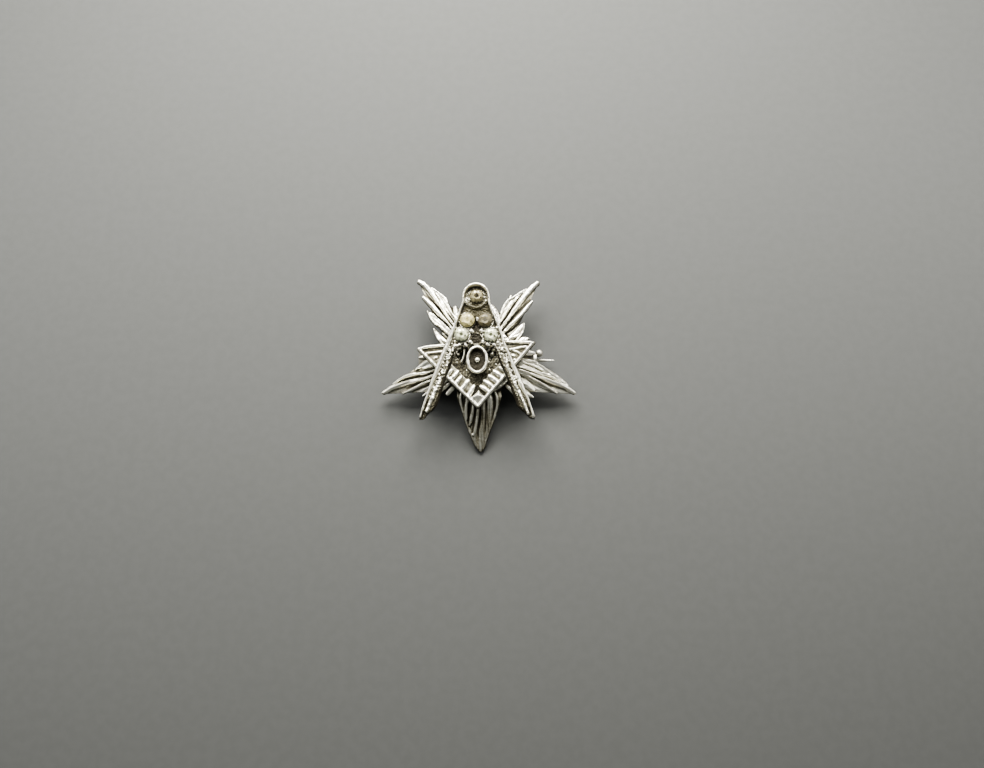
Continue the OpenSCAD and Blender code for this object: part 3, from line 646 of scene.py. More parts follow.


# The compasses: heights are over their level, the web's outline and the spots of stains and painted shade lie
# round their centre
compasses = {
    "centre": (-0.28, -0.12), "level": 2.2125, "legHeight": 0.85, "foot": 0.02,
    "rimLift": 0.1, "headLift": 0.14, "headFrom": (5.5, 2.5), "tipDrop": 0.1, "tipFrom": (-4.5, 3.0),
    "legFrom": 2.9, "legWidth": 1.5, "legOverlap": 0.04, "legSlope": 0.1, "legNarrow": 0.62,
    "narrowFrom": (-6.3, 2.1), "legThick": 0.48, "legThin": 0.16, "flank": 0.4, "flankFrom": (2.0, 3.0),
    "endLean": 0.06, "endSteps": [(0.14, 0.92, 0.04), (0.26, 0.7, 0.1), (0.34, 0.4, 0.18)],
    "bandDrop": 0.32, "innerDrop": 0.12,
    "beadSize": (0.21, 0.05, 1.7), "beadTop": (0.02, 0.07, 2.1), "beadDrop": 0.4,
    "clawDrop": 0.35, "clawTop": 0.08, "besideRight": 0.6, "besideDown": 0.5, "besideTop": 0.2,
    "besideSize": 0.8, "head": (-0.1, 8.3), "headRadius": 1.7, "headHeight": 1.18, "cupRadius": 1.72,
    "cupHeight": 0.55, "headArc": (-8, 188, 36), "browArc": (196, 344, 24), "browRadius": 1.42,
    "browDown": 0.05, "browTop": 0.64, "browFoot": 0.1, "headHalf": (0.19, 0.11, 0.02), "headRipple": 23.0,
    "browHalf": (0.2, 0.05), "browRipple": 9.0, "webHeight": 0.4, "bossRadius": 1.0, "bossPlace": 3.55,
    "bossTop": 0.3,
    "web": [(-3.0, 4.1), (-2.4, 5.4), (-1.95, 6.6), (-1.62, 7.4), (-1.5, 8.3), (1.5, 8.3), (1.62, 7.4),
            (1.9, 6.6), (2.4, 5.4), (3.0, 4.0), (3.65, 1.85), (1.4, 1.75), (1.0, 2.2), (0.5, 1.85),
            (-0.5, 1.85), (-1.0, 2.2), (-1.4, 1.75), (-3.75, 1.85)],
    "seatRadius": 1.1, "headSeatRadius": 1.12, "seatHalf": 0.16, "seatFoot": 0.1, "seatDrop": 0.3,
    "headSeatTop": 0.42, "emptyCup": (0.0, 2.5, 0.76, 0.8, 0.15), "emptyDrop": 0.34,
    # Painted shade on the legs' inner flanks; then spots of stains and painted shade on the web, the head and
    # the legs' lower ends
    "flankShade": 0.26, "clean": (2.58, 2.98), "glueUnder": 3.05, "stainsAndShadeUnder": 3.05,
    "stainsAndShade": [(0.1, 6.5, 1.15, 0.3), (0.0, 4.5, 0.75, 0.45), (-0.07, 2.52, 0.66, 0.75),
               (0.0, 8.3, 1.75, 0.14), (0.0, 3.6, 1.5, 0.15), (-2.5, 6.0, 0.7, 0.15), (2.4, 5.6, 0.7, 0.15),
               (0.0, 5.8, 1.6, 0.1), (-3.2, 4.2, 0.6, 0.12), (-7.0, -7.6, 0.6, 0.15), (6.6, -7.2, 0.7, 0.1)],
    "voxel": 0.055, "soften": 2, "uneven": 0.035, "pebbles": (2.5, 2.86, 0.19, 0.1),
}
# Crests of the left and the right rim, from the head down: place, half width
rims = {
    -1: [(-1.78, 8.6, 0.17), (-1.78, 7.9, 0.17), (-1.88, 7.3, 0.17), (-2.16, 6.5, 0.17), (-2.52, 5.5, 0.2),
         (-2.92, 4.3, 0.27), (-3.48, 2.8, 0.34), (-4.02, 1.4, 0.34), (-4.62, -0.11, 0.33),
         (-5.16, -1.56, 0.32), (-5.66, -2.83, 0.27), (-6.1, -4.11, 0.21), (-6.54, -5.37, 0.17),
         (-6.93, -6.48, 0.16), (-7.22, -7.5, 0.16), (-7.36, -8.0, 0.15)],
    1: [(1.6, 8.7, 0.17), (1.62, 7.9, 0.17), (1.7, 7.3, 0.17), (2.0, 6.4, 0.18), (2.5, 5.3, 0.2),
        (3.05, 3.9, 0.21), (3.42, 2.7, 0.2), (3.76, 1.66, 0.2), (4.12, 0.85, 0.2), (4.42, 0.05, 0.21),
        (4.78, -0.92, 0.25), (5.12, -1.7, 0.29), (5.48, -2.6, 0.34), (5.82, -3.5, 0.36), (6.16, -4.3, 0.3),
        (6.54, -5.05, 0.19), (6.84, -5.75, 0.17), (7.08, -6.48, 0.16), (7.3, -7.15, 0.16), (7.5, -7.9, 0.17)],
}
# Inner ridges of the left and the right leg, and over them the bands that carry the grains: place, half width
inners = {
    -1: [(-4.68, -2.6, 0.24), (-4.95, -3.3, 0.32), (-5.3, -4.1, 0.33), (-5.66, -4.9, 0.3),
         (-5.98, -5.7, 0.28), (-6.3, -6.6, 0.26), (-6.56, -7.3, 0.25)],
    1: [(3.55, 0.25, 0.18), (3.98, -1.0, 0.2), (4.5, -2.05, 0.24), (4.84, -2.98, 0.25), (5.16, -3.77, 0.26),
        (5.56, -4.5, 0.26), (5.86, -5.2, 0.24), (6.3, -6.2, 0.2), (6.72, -7.3, 0.24)],
}
bands = {
    -1: [(-3.05, 1.75, 0.34), (-3.4, 0.9, 0.42), (-3.8, -0.15, 0.42), (-4.25, -1.2, 0.36), (-4.6, -2.2, 0.32),
         (-4.9, -3.1, 0.3)],
    1: [(3.15, 1.7, 0.34), (3.55, 0.7, 0.4), (3.95, -0.3, 0.38), (4.4, -1.3, 0.32), (4.8, -2.2, 0.32),
        (5.3, -3.4, 0.34)],
}
# Grains that stand by themselves on the legs
beads = {
    -1: [(-2.9, 2.15), (-2.62, 1.55), (-5.75, -5.45), (-6.2, -6.4), (-5.32, -4.4), (-5.05, -3.6),
         (-6.56, -7.2)],
    1: [(2.82, 2.0), (3.3, 1.0), (5.1, -3.4), (5.45, -4.2), (5.88, -5.2), (6.0, -5.5), (6.66, -7.2),
        (6.78, -7.5), (7.46, -7.85)],
}
# Claws: place, radius, height over the legs
claws = [(0.09, 5.28, 0.24, 0.16), (0.09, 5.0, 0.2, 0.1), (-0.72, 3.6, 0.28, 0.06), (0.62, 3.6, 0.28, 0.06),
         (-0.86, 2.1, 0.26, 0.04), (0.8, 2.15, 0.26, 0.06), (2.85, 2.0, 0.28, 0.05), (-2.3, 1.72, 0.2, -0.06),
         (-1.5, 1.68, 0.22, -0.04), (1.4, 1.78, 0.24, -0.02), (2.3, 1.72, 0.2, -0.05), (-2.75, 4.0, 0.2, 0.0),
         (2.7, 4.02, 0.2, 0.0), (-1.05, 6.35, 0.16, -0.2), (1.15, 6.3, 0.16, -0.2)]
# Stones: place, height over the compasses' level
stoneTable = {
    "stone_1": (-0.02, 8.34, 0.3), "stone_2": (-1.25, 5.0, 0.42), "stone_3": (1.12, 5.0, 0.38),
    "stone_4": (-2.04, 3.04, 0.42), "stone_5": (1.9, 2.98, 0.42),
}
stoneRadius = 0.98


def makeCompasses():
    cast = Casting()
    c = compasses
    ox, oy = c["centre"]
    base = c["level"]
    foot, top = base + c["foot"], base + c["legHeight"]

    def put(points):
        return [(x + ox, y + oy) for x, y in points]

    # Ridge along a row of places and half widths
    def along(row, crests):
        cast.ridge(put(row[:, :2]), row[:, 2], crests, foot)

    for side in (-1, 1):
        crest = through(rims[side], 4)
        start, length = c["headFrom"]
        high = top + c["rimLift"] + c["headLift"] * smooth((crest[:, 1] - start) / length)
        along(crest, high - c["tipDrop"] * below(crest[:, 1], *c["tipFrom"]))
        # Leg plate from the stones down, its inner side sloping out to the back, blunt at its lower end
        rings = []
        for x, y, half in crest[crest[:, 1] < c["legFrom"]]:
            narrow = 1.0 - c["legNarrow"] * below(y, *c["narrowFrom"])
            outer = x + side * (half - c["legOverlap"])
            inner = x + side * (half - c["legWidth"] * narrow)
            back = inner - side * c["flank"] * below(y, *c["flankFrom"]) * narrow
            thick = c["legThick"] - c["legThin"] * below(y, *c["tipFrom"])
            face = base + thick
            section = [(outer, foot), (back, foot), (inner, face), (outer, face + c["legSlope"])]
            rings.append([(px + ox, y + oy, z) for px, z in section])
        last = rings[-1]
        start = last[0][0]
        for step, part, drop in c["endSteps"]:
            lean = start + side * c["endLean"] * step
            rings.append([(lean + (x - start) * part, y - step, max(z - drop, foot)) for x, y, z in last])
        cast.loft(rings)
        along(through(bands[side], 4), top - c["bandDrop"])
        along(through(inners[side], 4), top - c["innerDrop"])
        (size, more, often), (down, vary, turns) = c["beadSize"], c["beadTop"]
        for i, (x, y) in enumerate(beads[side]):
            radius = size + more * math.sin(i * often + side)
            cast.lump(x + ox, y + oy, top - c["beadDrop"], top - down + vary * math.cos(i * turns), radius)
    # Web under the stones, open below between the legs
    cast.slab(put(c["web"]), foot, base + c["webHeight"])
    # Head: a cup with a thin high rim, open towards the web
    hx, hy = c["head"]
    cast.slab(put(oval(hx, hy, c["cupRadius"], c["cupRadius"], 36)), base, base + c["cupHeight"])
    steps = c["headArc"][2]
    half, more, rough = c["headHalf"]
    swell, ripple = np.linspace(0.0, math.pi, steps), np.linspace(0.0, c["headRipple"], steps)
    halves = half + more * np.sin(swell) ** 4 + rough * np.cos(ripple)
    cast.ridge(put(arc(hx, hy, c["headRadius"], *c["headArc"])), halves, base + c["headHeight"], foot)
    half, rough = c["browHalf"]
    halves = half + rough * np.cos(np.linspace(0.0, c["browRipple"], c["browArc"][2]))
    brow = arc(hx, hy - c["browDown"], c["browRadius"], *c["browArc"])
    cast.ridge(put(brow), halves, base + c["browTop"], base + c["browFoot"])
    # Low seats of the stones, and the small grains that hold them
    half, low = c["seatHalf"], base + c["seatFoot"]
    for name, (x, y, z) in stoneTable.items():
        inHead = name == "stone_1"
        radius = c["headSeatRadius"] if inHead else c["seatRadius"]
        high = base + c["headSeatTop"] if inHead else top - c["seatDrop"]
        cast.hoop(x + ox, y + oy, radius, radius, half, low, high)
    # Each claw has a smaller lump beside it
    bottom, right, down = top - c["clawDrop"], c["besideRight"], c["besideDown"]
    for x, y, size, high in claws:
        cast.lump(x + ox, y + oy, bottom, top + high - c["clawTop"], size)
        high = top + high - c["besideTop"]
        cast.lump(x + ox + right * size, y + oy - down * size, bottom, high, c["besideSize"] * size)
    x, y, a, b, half = c["emptyCup"]
    cast.hoop(x + ox, y + oy, a, b, half, low, top - c["emptyDrop"])
    # Boss that stands on the star
    boss = oval(0.0, c["bossPlace"], c["bossRadius"], c["bossRadius"], 32)
    cast.slab(put(boss), star["seatHeight"] + star["seatGap"], base + c["bossTop"])
    return cast


# The ring in the middle: a bead inside it, a plate under both and a foot on the star
ring = {
    "centre": (-0.2, -0.42), "a": 1.27, "b": 1.71, "half": 0.24, "level": 2.26, "height": 0.74, "sides": 56,
    "plate": (0.01, 0.14), "bead": (0.15, 0.52, 0.4), "footRadius": 0.8, "footTop": 0.1,
    # A spot of dirt and painted shade on the ring's floor
    "clean": (2.55, 2.85), "stainsAndShadeUnder": 2.6, "stainsAndShade": [(-0.2, -0.42, 1.5, 0.45)],
    "voxel": 0.045, "soften": 2, "uneven": 0.03, "pebbles": (2.3, 2.5, 0.2, 0.05),
}


def makeRing():
    cast = Casting()
    q = ring
    x, y = q["centre"]
    low = q["level"]
    cast.hoop(x, y, q["a"], q["b"], q["half"], low, low + q["height"], q["sides"])
    under, over = q["plate"]
    cast.slab(oval(x, y, q["a"], q["b"], 40), low + under, low + over)
    under, over, radius = q["bead"]
    cast.lump(x, y, low + under, low + over, radius)
    foot = oval(x, y, q["footRadius"], q["footRadius"], 40)
    cast.slab(foot, star["seatHeight"] + star["seatGap"], low + q["footTop"])
    return cast


# The shape that a piece's modifiers give it becomes its own
def takeShape(piece):
    name = piece.data.name
    seen = piece.evaluated_get(bpy.context.evaluated_depsgraph_get())
    done = bpy.data.meshes.new_from_object(seen)
    piece.modifiers.clear()
    piece.data = done
    done.name = name


# Swells: slight unevenness of a small casting, how often along a millimetre and how strong
skinning = {
    "softness": 0.5, "shift": (7.3, 3.1, 5.7), "swells": [(1.3, 1.0), (3.4, 0.6), (7.0, 0.35)],
    "backNormal": -0.6,
}


# One skin over the gathered shapes, as a casting has
def skin(name, cast, look, seed):
    mesh = bpy.data.meshes.new(name)
    mesh.from_pydata(cast.points, [], cast.faces)
    piece = placed(name, mesh)
    fuse = piece.modifiers.new("fuse", "REMESH")
    fuse.mode = "VOXEL"
    fuse.voxel_size = look["voxel"]
    soften = piece.modifiers.new("soften", "SMOOTH")
    soften.factor = skinning["softness"]
    soften.iterations = look["soften"]
    takeShape(piece)
    shift = Vector([seed * step for step in skinning["shift"]])
    vertices = piece.data.vertices
    for v, n in zip(vertices, [Vector(v.normal) for v in vertices]):
        lift = sum(strength * noise.noise(v.co * often + shift) for often, strength in skinning["swells"])
        v.co += n * lift * look["uneven"]
    # Fewer faces on the back alone
    if "keep" in look:
        back = piece.vertex_groups.new(name="back")
        down = skinning["backNormal"]
        back.add([v.index for v in piece.data.vertices if v.normal.z < down], 1.0, "REPLACE")
        thin = piece.modifiers.new("thin", "DECIMATE")
        thin.ratio = look["keep"]
        thin.vertex_group = "back"
        takeShape(piece)
        piece.vertex_groups.clear()
    return piece


# Places of a piece's points, or their normals
def spotsOf(piece, what="co"):
    values = np.empty(len(piece.data.vertices) * 3)
    piece.data.vertices.foreach_get(what, values)
    return values.reshape(-1, 3)


def setSpots(piece, spots):
    piece.data.vertices.foreach_set("co", spots.ravel())
    piece.data.update()


# How near each point lies to a line, seen from above: distance, and how far along the line, in its steps.
# Points far from the line are left at one large distance.
def nearLine(spots, line):
    margin, distant = 0.8, 9.0
    away = np.full(len(spots), distant)
    along = np.zeros(len(spots))
    low, high = line[:, :2].min(0) - margin, line[:, :2].max(0) + margin
    close = np.nonzero(((spots[:, :2] > low) & (spots[:, :2] < high)).all(1))[0]
    p = spots[close, :2]
    best = np.full(len(close), distant)
    where = np.zeros(len(close))
    for k in range(len(line) - 1):
        start, step = line[k, :2], line[k + 1, :2] - line[k, :2]
        t = np.clip((p - start) @ step / max(step @ step, 1e-9), 0.0, 1.0)
        d = np.linalg.norm(p - start - t[:, None] * step, axis=1)
        where = np.where(d < best, k + t, where)
        best = np.minimum(d, best)
    away[close] = best
    along[close] = where
    return away, along


# Cutting of the grooves and streaks into the star's upper side, never closer to its back than thinnest
carving = {
    "upward": 0.25, "level": 0.8, "steps": 10, "fade": 5.0, "narrowest": 0.13, "wide": 1.2, "deep": 0.62,
    "even": 0.75, "vary": 0.25, "varyAlong": 0.21, "varyEach": 40.0, "profile": 1.5,
    "streakFrom": 4.0, "streak": 0.075, "streakMean": 0.35, "streakScale": (0.55, 5.5, 9.0),
    "lowerFrom": -5.0, "upperFrom": 2.5, "upperPart": 0.55, "thinnest": 0.3,
}


def carve(piece):
    q = carving
    spots = spotsOf(piece)
    upward = spotsOf(piece, "normal")[:, 2] > q["upward"]
    push = np.zeros(len(spots))
    for name, cuts in grooves.items():
        place = armPlace(star["arms"][name])
        for half, depth, way in cuts:
            line = np.array([place(u, s, q["level"]) for u, s in through(way, q["steps"])])
            away, along = nearLine(spots, line)
            ends = smooth(np.minimum(along, len(line) - 1 - along) / q["fade"])
            wide = max(q["narrowest"], half * q["wide"])
            wave = np.cos(along * q["varyAlong"] + half * q["varyEach"])
            cut = depth * q["deep"] * (q["even"] + q["vary"] * wave)
            profile = np.clip(1.0 - (away / wide) ** 2, 0.0, 1.0) ** q["profile"]
            push = np.maximum(push, cut * ends * profile)
    # Fine streaks along each arm
    bearings = np.radians([arm["bearing"] for arm in star["arms"].values()])
    along = spots[:, :1] * np.cos(bearings) + spots[:, 1:2] * np.sin(bearings)
    which = np.argmax(along, axis=1)
    across = spots[:, 1] * np.cos(bearings[which]) - spots[:, 0] * np.sin(bearings[which])
    su, sv, sw = q["streakScale"]
    for k in np.nonzero(upward & (along.max(axis=1) > q["streakFrom"]))[0]:
        streak = noise.noise(Vector((along[k, which[k]] * su, across[k] * sv, which[k] * sw)))
        push[k] += q["streak"] * (q["streakMean"] - streak)
    reach = np.hypot(spots[:, 0], spots[:, 1])
    over = np.maximum(0.0, reach - star["bend"])
    lowerSlope, sideSlope = [math.tan(math.radians(star["arms"][k]["droop"])) for k in ("lower", "left")]
    slope = np.where(spots[:, 1] < q["lowerFrom"], lowerSlope, sideSlope)
    part = np.where(spots[:, 1] > q["upperFrom"], q["upperPart"], 1.0)
    room = spots[:, 2] + over * slope * part - q["thinnest"]
    spots[:, 2] -= np.where(upward, np.minimum(push, np.maximum(room, 0.0)), 0.0)
    setSpots(piece, spots)


# Rounded bump over each cell of a cracked pattern, 1 in its middle and 0 at its edge
def grainAt(x, y, cell, edge):
    gap = noise.voronoi(Vector((x, y, 0.0)) / cell)[0][0]
    return max(0.0, 1.0 - (gap / edge) ** 2)


# Small cast grains over bands of the legs: cell size, height, and how far they reach past the band
granules = {
    "cell": 0.3, "edge": 0.58, "roundness": 0.6, "lift": 0.2, "sink": 0.06, "reach": 1.15, "full": 0.75,
    "fade": 0.4, "above": 0.4, "below": 2.4, "onBands": 1.0, "onInners": 0.4,
}


def granulate(piece):
    g = granules
    spots = spotsOf(piece)
    upper = (spots[:, 2] > compasses["level"] + g["above"]) & (spots[:, 1] < g["below"])
    fromCentre = spots - np.array([*compasses["centre"], 0.0])
    for rows, strength in ((bands, g["onBands"]), (inners, g["onInners"])):
        for side in (-1, 1):
            line = through(rows[side], 4)
            away, along = nearLine(fromCentre, line)
            half = np.interp(along, np.arange(len(line)), line[:, 2])
            inside = (1.0 - smooth((away / (half * g["reach"]) - g["full"]) / g["fade"])) * upper
            for k in np.nonzero(inside > 0.0)[0]:
                bump = grainAt(spots[k, 0], spots[k, 1], g["cell"], g["edge"]) ** g["roundness"]
                spots[k, 2] += strength * inside[k] * (g["lift"] * bump - g["sink"])
    setSpots(piece, spots)


# Fine pebbled ground between two levels of a piece
def pebble(piece, low, high, cell, lift):
    upright, fade, edge, mean = 0.45, 0.1, 0.6, 0.4
    spots = spotsOf(piece)
    upward = spotsOf(piece, "normal")[:, 2]
    for k in np.nonzero((spots[:, 2] > low) & (spots[:, 2] < high) & (upward > upright))[0]:
        x, y, z = spots[k]
        spots[k, 2] += lift * min(1.0, (high - z) / fade) * (grainAt(x, y, cell, edge) - mean)
    setSpots(piece, spots)


# How deep each point lies under what stands round it, from 0 on open crests to 1 in the hollows. Painted
# shade is added to the same mark under higher pieces, on the legs' inner flanks, over whole arms and in
# spots. Fine, near and far are the widths of three mean levels, in millimetres.
hollows = {
    "cell": 0.08, "reach": 15.0, "fine": 0.13, "near": 0.22, "far": 0.6, "below": -0.4, "nothing": -9.0,
    "some": -5.0, "open": 0.33, "depth": 0.42, "nearPart": 0.55, "farPart": 0.45, "crisp": 0.16,
    "crispDepth": 0.06, "others": 0.14, "back": 0.45, "cleanPart": 0.55, "cleanFloor": 0.42,
    "flankFrom": (1.4, 1.5), "flankIn": 0.95, "flankSoft": 0.35,
    "armFrom": 4.5, "armFade": 2.0, "armHalf": 3.5,
    "glue": (-0.1, 6.4), "glueWide": 1.9, "glueTall": 1.5,
}


def blurred(grid, width):
    reach = int(width * 3) + 1
    kernel = np.exp(-0.5 * (np.arange(-reach, reach + 1) / width) ** 2)
    kernel /= kernel.sum()
    grid = np.pad(grid, reach, mode="edge")
    for axis in (1, 0):
        grid = np.apply_along_axis(lambda row: np.convolve(row, kernel, mode="valid"), axis, grid)
    return grid


# Highest point in each cell seen from above, small gaps closed from their neighbours
def fieldOf(cells, heights):
    count = int(2 * hollows["reach"] / hollows["cell"])
    grid = np.full((count, count), hollows["nothing"])
    np.maximum.at(grid, (cells[:, 0], cells[:, 1]), heights)
    for _ in range(2):
        wide = grid.copy()
        for dx in (-1, 0, 1):
            for dy in (-1, 0, 1):
                wide = np.maximum(wide, np.roll(np.roll(grid, dx, 0), dy, 1))
        grid = np.where(grid < hollows["some"], wide, grid)
    return grid


# Mean height round each point, of what is there, for a few widths
def levels(grid, widths):
    cell = hollows["cell"]
    solid = grid > hollows["some"]
    weight = solid.astype(float) + 1e-3
    level = np.where(solid, grid, hollows["below"])
    return [blurred(level * weight, w / cell) / blurred(weight, w / cell) for w in widths]


# Painted shade on the inner flanks of the legs
def flanks(x, y, side):
    h = hollows
    ox, oy = compasses["centre"]
    crest = np.array(rims[side])[::-1]
    inwards = side * (np.interp(y - oy, crest[:, 1], crest[:, 0]) + ox - x)
    on = (x * side > 0.0) * below(y, *h["flankFrom"])
    return compasses["flankShade"] * smooth((inwards - h["flankIn"]) / h["flankSoft"]) * on


# Painted shade or light over an arm: darker or brighter than the rest, as light falls on it
def paintedArmShade(x, y, arm, more):
    h = hollows
    b = math.radians(star["arms"][arm]["bearing"])
    along = x * math.cos(b) + y * math.sin(b)
    across = y * math.cos(b) - x * math.sin(b)
    return more * smooth((along - h["armFrom"]) / h["armFade"]) * (np.abs(across) < h["armHalf"])


def markHollowsAndShade(looks):
    h = hollows
    count = int(2 * h["reach"] / h["cell"])
    places = {}
    for piece in looks:
        spots = spotsOf(piece)
        places[piece] = (spots, np.clip(((spots[:, :2] + h["reach"]) / h["cell"]).astype(int), 0, count - 1))
    cells = np.concatenate([c for s, c in places.values()])
    heights = np.concatenate([s[:, 2] for s, c in places.values()])
    over = levels(fieldOf(cells, heights), [h["far"]])[0]
    for piece, (spots, cells) in places.items():
        look = looks[piece]
        i, j = cells[:, 0], cells[:, 1]
        x, y, z = spots.T
        own = levels(fieldOf(cells, z), [h["fine"], h["near"], h["far"]])
        fine, near, far = [level[i, j] for level in own]
        depth = h["nearPart"] * (near - z) + h["farPart"] * (far - z)
        crisp = h["crisp"] * np.clip((fine - z) / h["crispDepth"], -1.0, 1.0)
        value = h["open"] + depth / h["depth"] + crisp
        # Where another piece stands higher round a point, patina and painted shade darken it
        value = np.clip(value + h["others"] * np.clip(over[i, j] - far, 0.0, 1.0), 0.0, 1.0)
        if "clean" in look:
            low, high = look["clean"]
            value = value * h["cleanPart"] + h["cleanFloor"] * (1.0 - smooth((z - low) / (high - low)))
        # Painted shade on the legs' inner flanks
        if "flankShade" in look:
            for side in (-1, 1):
                value = value + flanks(x, y, side)
        # Painted shade and light over whole arms
        for arm, more in look.get("paintedArmShade", {}).items():
            value = value + paintedArmShade(x, y, arm, more)
        ox, oy = compasses["centre"] if look is compasses else (0.0, 0.0)
        # Spots of stains and painted shade
        for px, py, size, more in look["stainsAndShade"]:
            spread = ((x - px - ox) ** 2 + (y - py - oy) ** 2) / size ** 2
            value = value + more * np.exp(-(spread ** 1.5)) * (z < look["stainsAndShadeUnder"])
        gx, gy = h["glue"]
        glue = np.exp(-((x - gx) / h["glueWide"]) ** 4 - ((y - gy) / h["glueTall"]) ** 4)
        downward = np.clip(-spotsOf(piece, "normal")[:, 2], 0.0, 1.0)
        glue = glue * (z < look.get("glueUnder", h["nothing"])) * (downward < 0.5)
        value = np.clip(value, 0.0, 1.0) * (1 - downward) + h["back"] * downward
        for label, data in (("recessAndShade", value), ("amber", glue)):
            mark = piece.data.attributes.new(label, "FLOAT", "POINT")
            mark.data.foreach_set("value", data.astype(np.float32))


# What the castings are: name, shapes, settings, own carving, the node each stands for, its slot
castings = [
    ("starCasting", makeStar, star, carve, "star", "silver_cast"),
    ("squareCasting", makeSquare, square, None, "builders_square", "silver_relief"),
    ("compassCasting", makeCompasses, compasses, granulate, "compasses", "silver_relief"),
    ("ringCasting", makeRing, ring, None, "centre_ring", "silver_relief"),
]
pieces = []
for seed, (name, make, look, finish, node, slot) in enumerate(castings, 1):
    piece = skin(name, make(), look, seed)
    if finish:
        finish(piece)
    pebble(piece, *look["pebbles"])
    pieces.append(piece)
    print(name, len(piece.data.polygons))
markHollowsAndShade(dict(zip(pieces, (star, square, compasses, ring))))
print("hollows marked")

metals = {
    "silver_cast": castMetal("starMetal", starLook),
    "silver_relief": castMetal("reliefMetal", reliefLook),
}
for piece, (name, make, look, finish, node, slot) in zip(pieces, castings):
    piece.data.transform(layDown)
    piece.data.shade_smooth()
    piece.data.materials.clear()
    piece.data.materials.append(metals[slot])
    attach(piece, "front")
    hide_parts(node)
print("castings laid down")


# Each stone's glass: its light and deep colours, and how clouded and darkened it is
glassBase = {
    "light": rgb(0.92, 0.94, 0.66), "deep": rgb(0.1, 0.11, 0.06), "heart": rgb(0.06, 0.062, 0.042),
    "veilColour": rgb(0.5, 0.5, 0.38), "veil": 0.12, "veilFrom": (0.45, 0.65), "cloud": (0.55, 4.0, 0.6),
    "cloudy": 0.3, "fine": (0.14, 3.0, 0.6), "paintedGlintFrom": (0.15, 0.9), "heartFrom": (0.45, 0.8),
    "heartDark": 0.75, "heartPatchy": 0.5, "rimFrom": (0.6, 1.0), "rimDark": 0.6, "rimPatchy": 0.5,
    "foil": 0.4, "rough": 0.14, "cloudRough": 0.15, "scratched": 0.08, "scratchDepth": 0.02, "gloss": 0.8,
    "glossRough": 0.06, "refraction": 1.52,
}
glass = {
    "stone_1": dict(
        glassBase, gloss=0.6, light=rgb(0.42, 0.375, 0.22), deep=rgb(0.045, 0.038, 0.018),
        heart=rgb(0.012, 0.01, 0.006), heartFrom=(0.2, 0.5), heartDark=1.0, veil=0.25,
        veilColour=rgb(0.22, 0.19, 0.1),
    ),
    "stone_2": dict(
        glassBase, light=rgb(0.52, 0.465, 0.245), deep=rgb(0.2, 0.175, 0.075), heart=rgb(0.3, 0.27, 0.12),
        heartDark=0.25, cloudy=0.8, veil=0.6, veilColour=rgb(0.5, 0.45, 0.23), foil=0.15, rough=0.2,
    ),
    "stone_3": dict(
        glassBase, gloss=0.08, light=rgb(0.125, 0.108, 0.057), deep=rgb(0.03, 0.026, 0.013),
        heart=rgb(0.04, 0.033, 0.018), heartDark=0.4, cloudy=0.9, veil=0.5, veilColour=rgb(0.1, 0.085, 0.045),
        foil=0.15, rough=0.42, scratched=0.6,
    ),
    "stone_4": glassBase,
    "stone_5": dict(glassBase, light=rgb(0.93, 0.95, 0.7), heartDark=0.5),
}


# Old foil-backed glass, its facets painted bright and dark as glints and reflections inside the stone
def oldGlass(name, look):
    s = Shader(name)
    facet = s.attribute("facet")
    rim = s.attribute("rim")
    spot = s.attribute("heart")
    cloud = s.speckle(*look["cloud"])
    fine = s.speckle(*look["fine"])
    # Painted glints and reflections of the facets
    paintedGlint = (facet + (cloud - 0.5) * look["cloudy"]).between(*look["paintedGlintFrom"])
    colour = s.mix(paintedGlint, look["deep"], look["light"])
    heart = (spot + (fine - 0.5) * look["heartPatchy"]).between(*look["heartFrom"])
    colour = s.mix(heart * look["heartDark"], colour, look["heart"])
    edge = (rim + (cloud - 0.5) * look["rimPatchy"]).between(*look["rimFrom"])
    colour = s.mix(edge * look["rimDark"], colour, look["heart"])
    colour = s.mix(cloud.between(*look["veilFrom"]) * look["veil"], colour, look["veilColour"])
    rough = look["rough"] + cloud * look["cloudRough"]
    scratches = s.bump(fine, look["scratched"], look["scratchDepth"])
    return s.finish({
        "Base Color": colour, "Metallic": look["foil"], "Roughness": rough, "Normal": scratches,
        "IOR": look["refraction"], "Coat Weight": look["gloss"], "Coat Roughness": look["glossRough"],
        "Coat IOR": look["refraction"],
    })


# Rings of a cut stone from the table down: part of the radius, height, number of corners, turn in steps
cut = [(0.52, 0.78, 8, 0.0), (0.78, 0.64, 8, 0.5), (1.0, 0.41, 16, 0.0), (1.0, 0.33, 16, 0.0),
       (0.5, 0.0, 8, 0.0)]
# Corners of the crown that are cut a little uneven, and how unequal the painted glints of the facets are. The
# table is cut in wedges round an inner ring and a middle, which stand for the facets seen through it.
uneven = {"radiusUnder": 0.95, "heightOver": 0.5, "wobble": 0.03, "rise": 0.8, "shade": 0.22}
wedges = {"radius": 0.25, "sink": 0.03, "middleSink": 0.02}
heartRadius = 0.5
firstSeed = 20
# Painted glint of each kind of facet, standing in for reflections in the cut glass, and how much more every
# other one
paintedGlint = {
    "star": (0.85, -0.5), "main": (0.7, 0.25), "girdleLeft": (0.25, 0.5), "girdleRight": (0.8, -0.5),
    "back": (0.4, 0.0), "girdle": (0.3, 0.0), "wedge": (0.95, -0.35), "inner": (0.45, 0.4),
    "middle": (0.2, 0.0), "end": (0.2, 0.0),
}


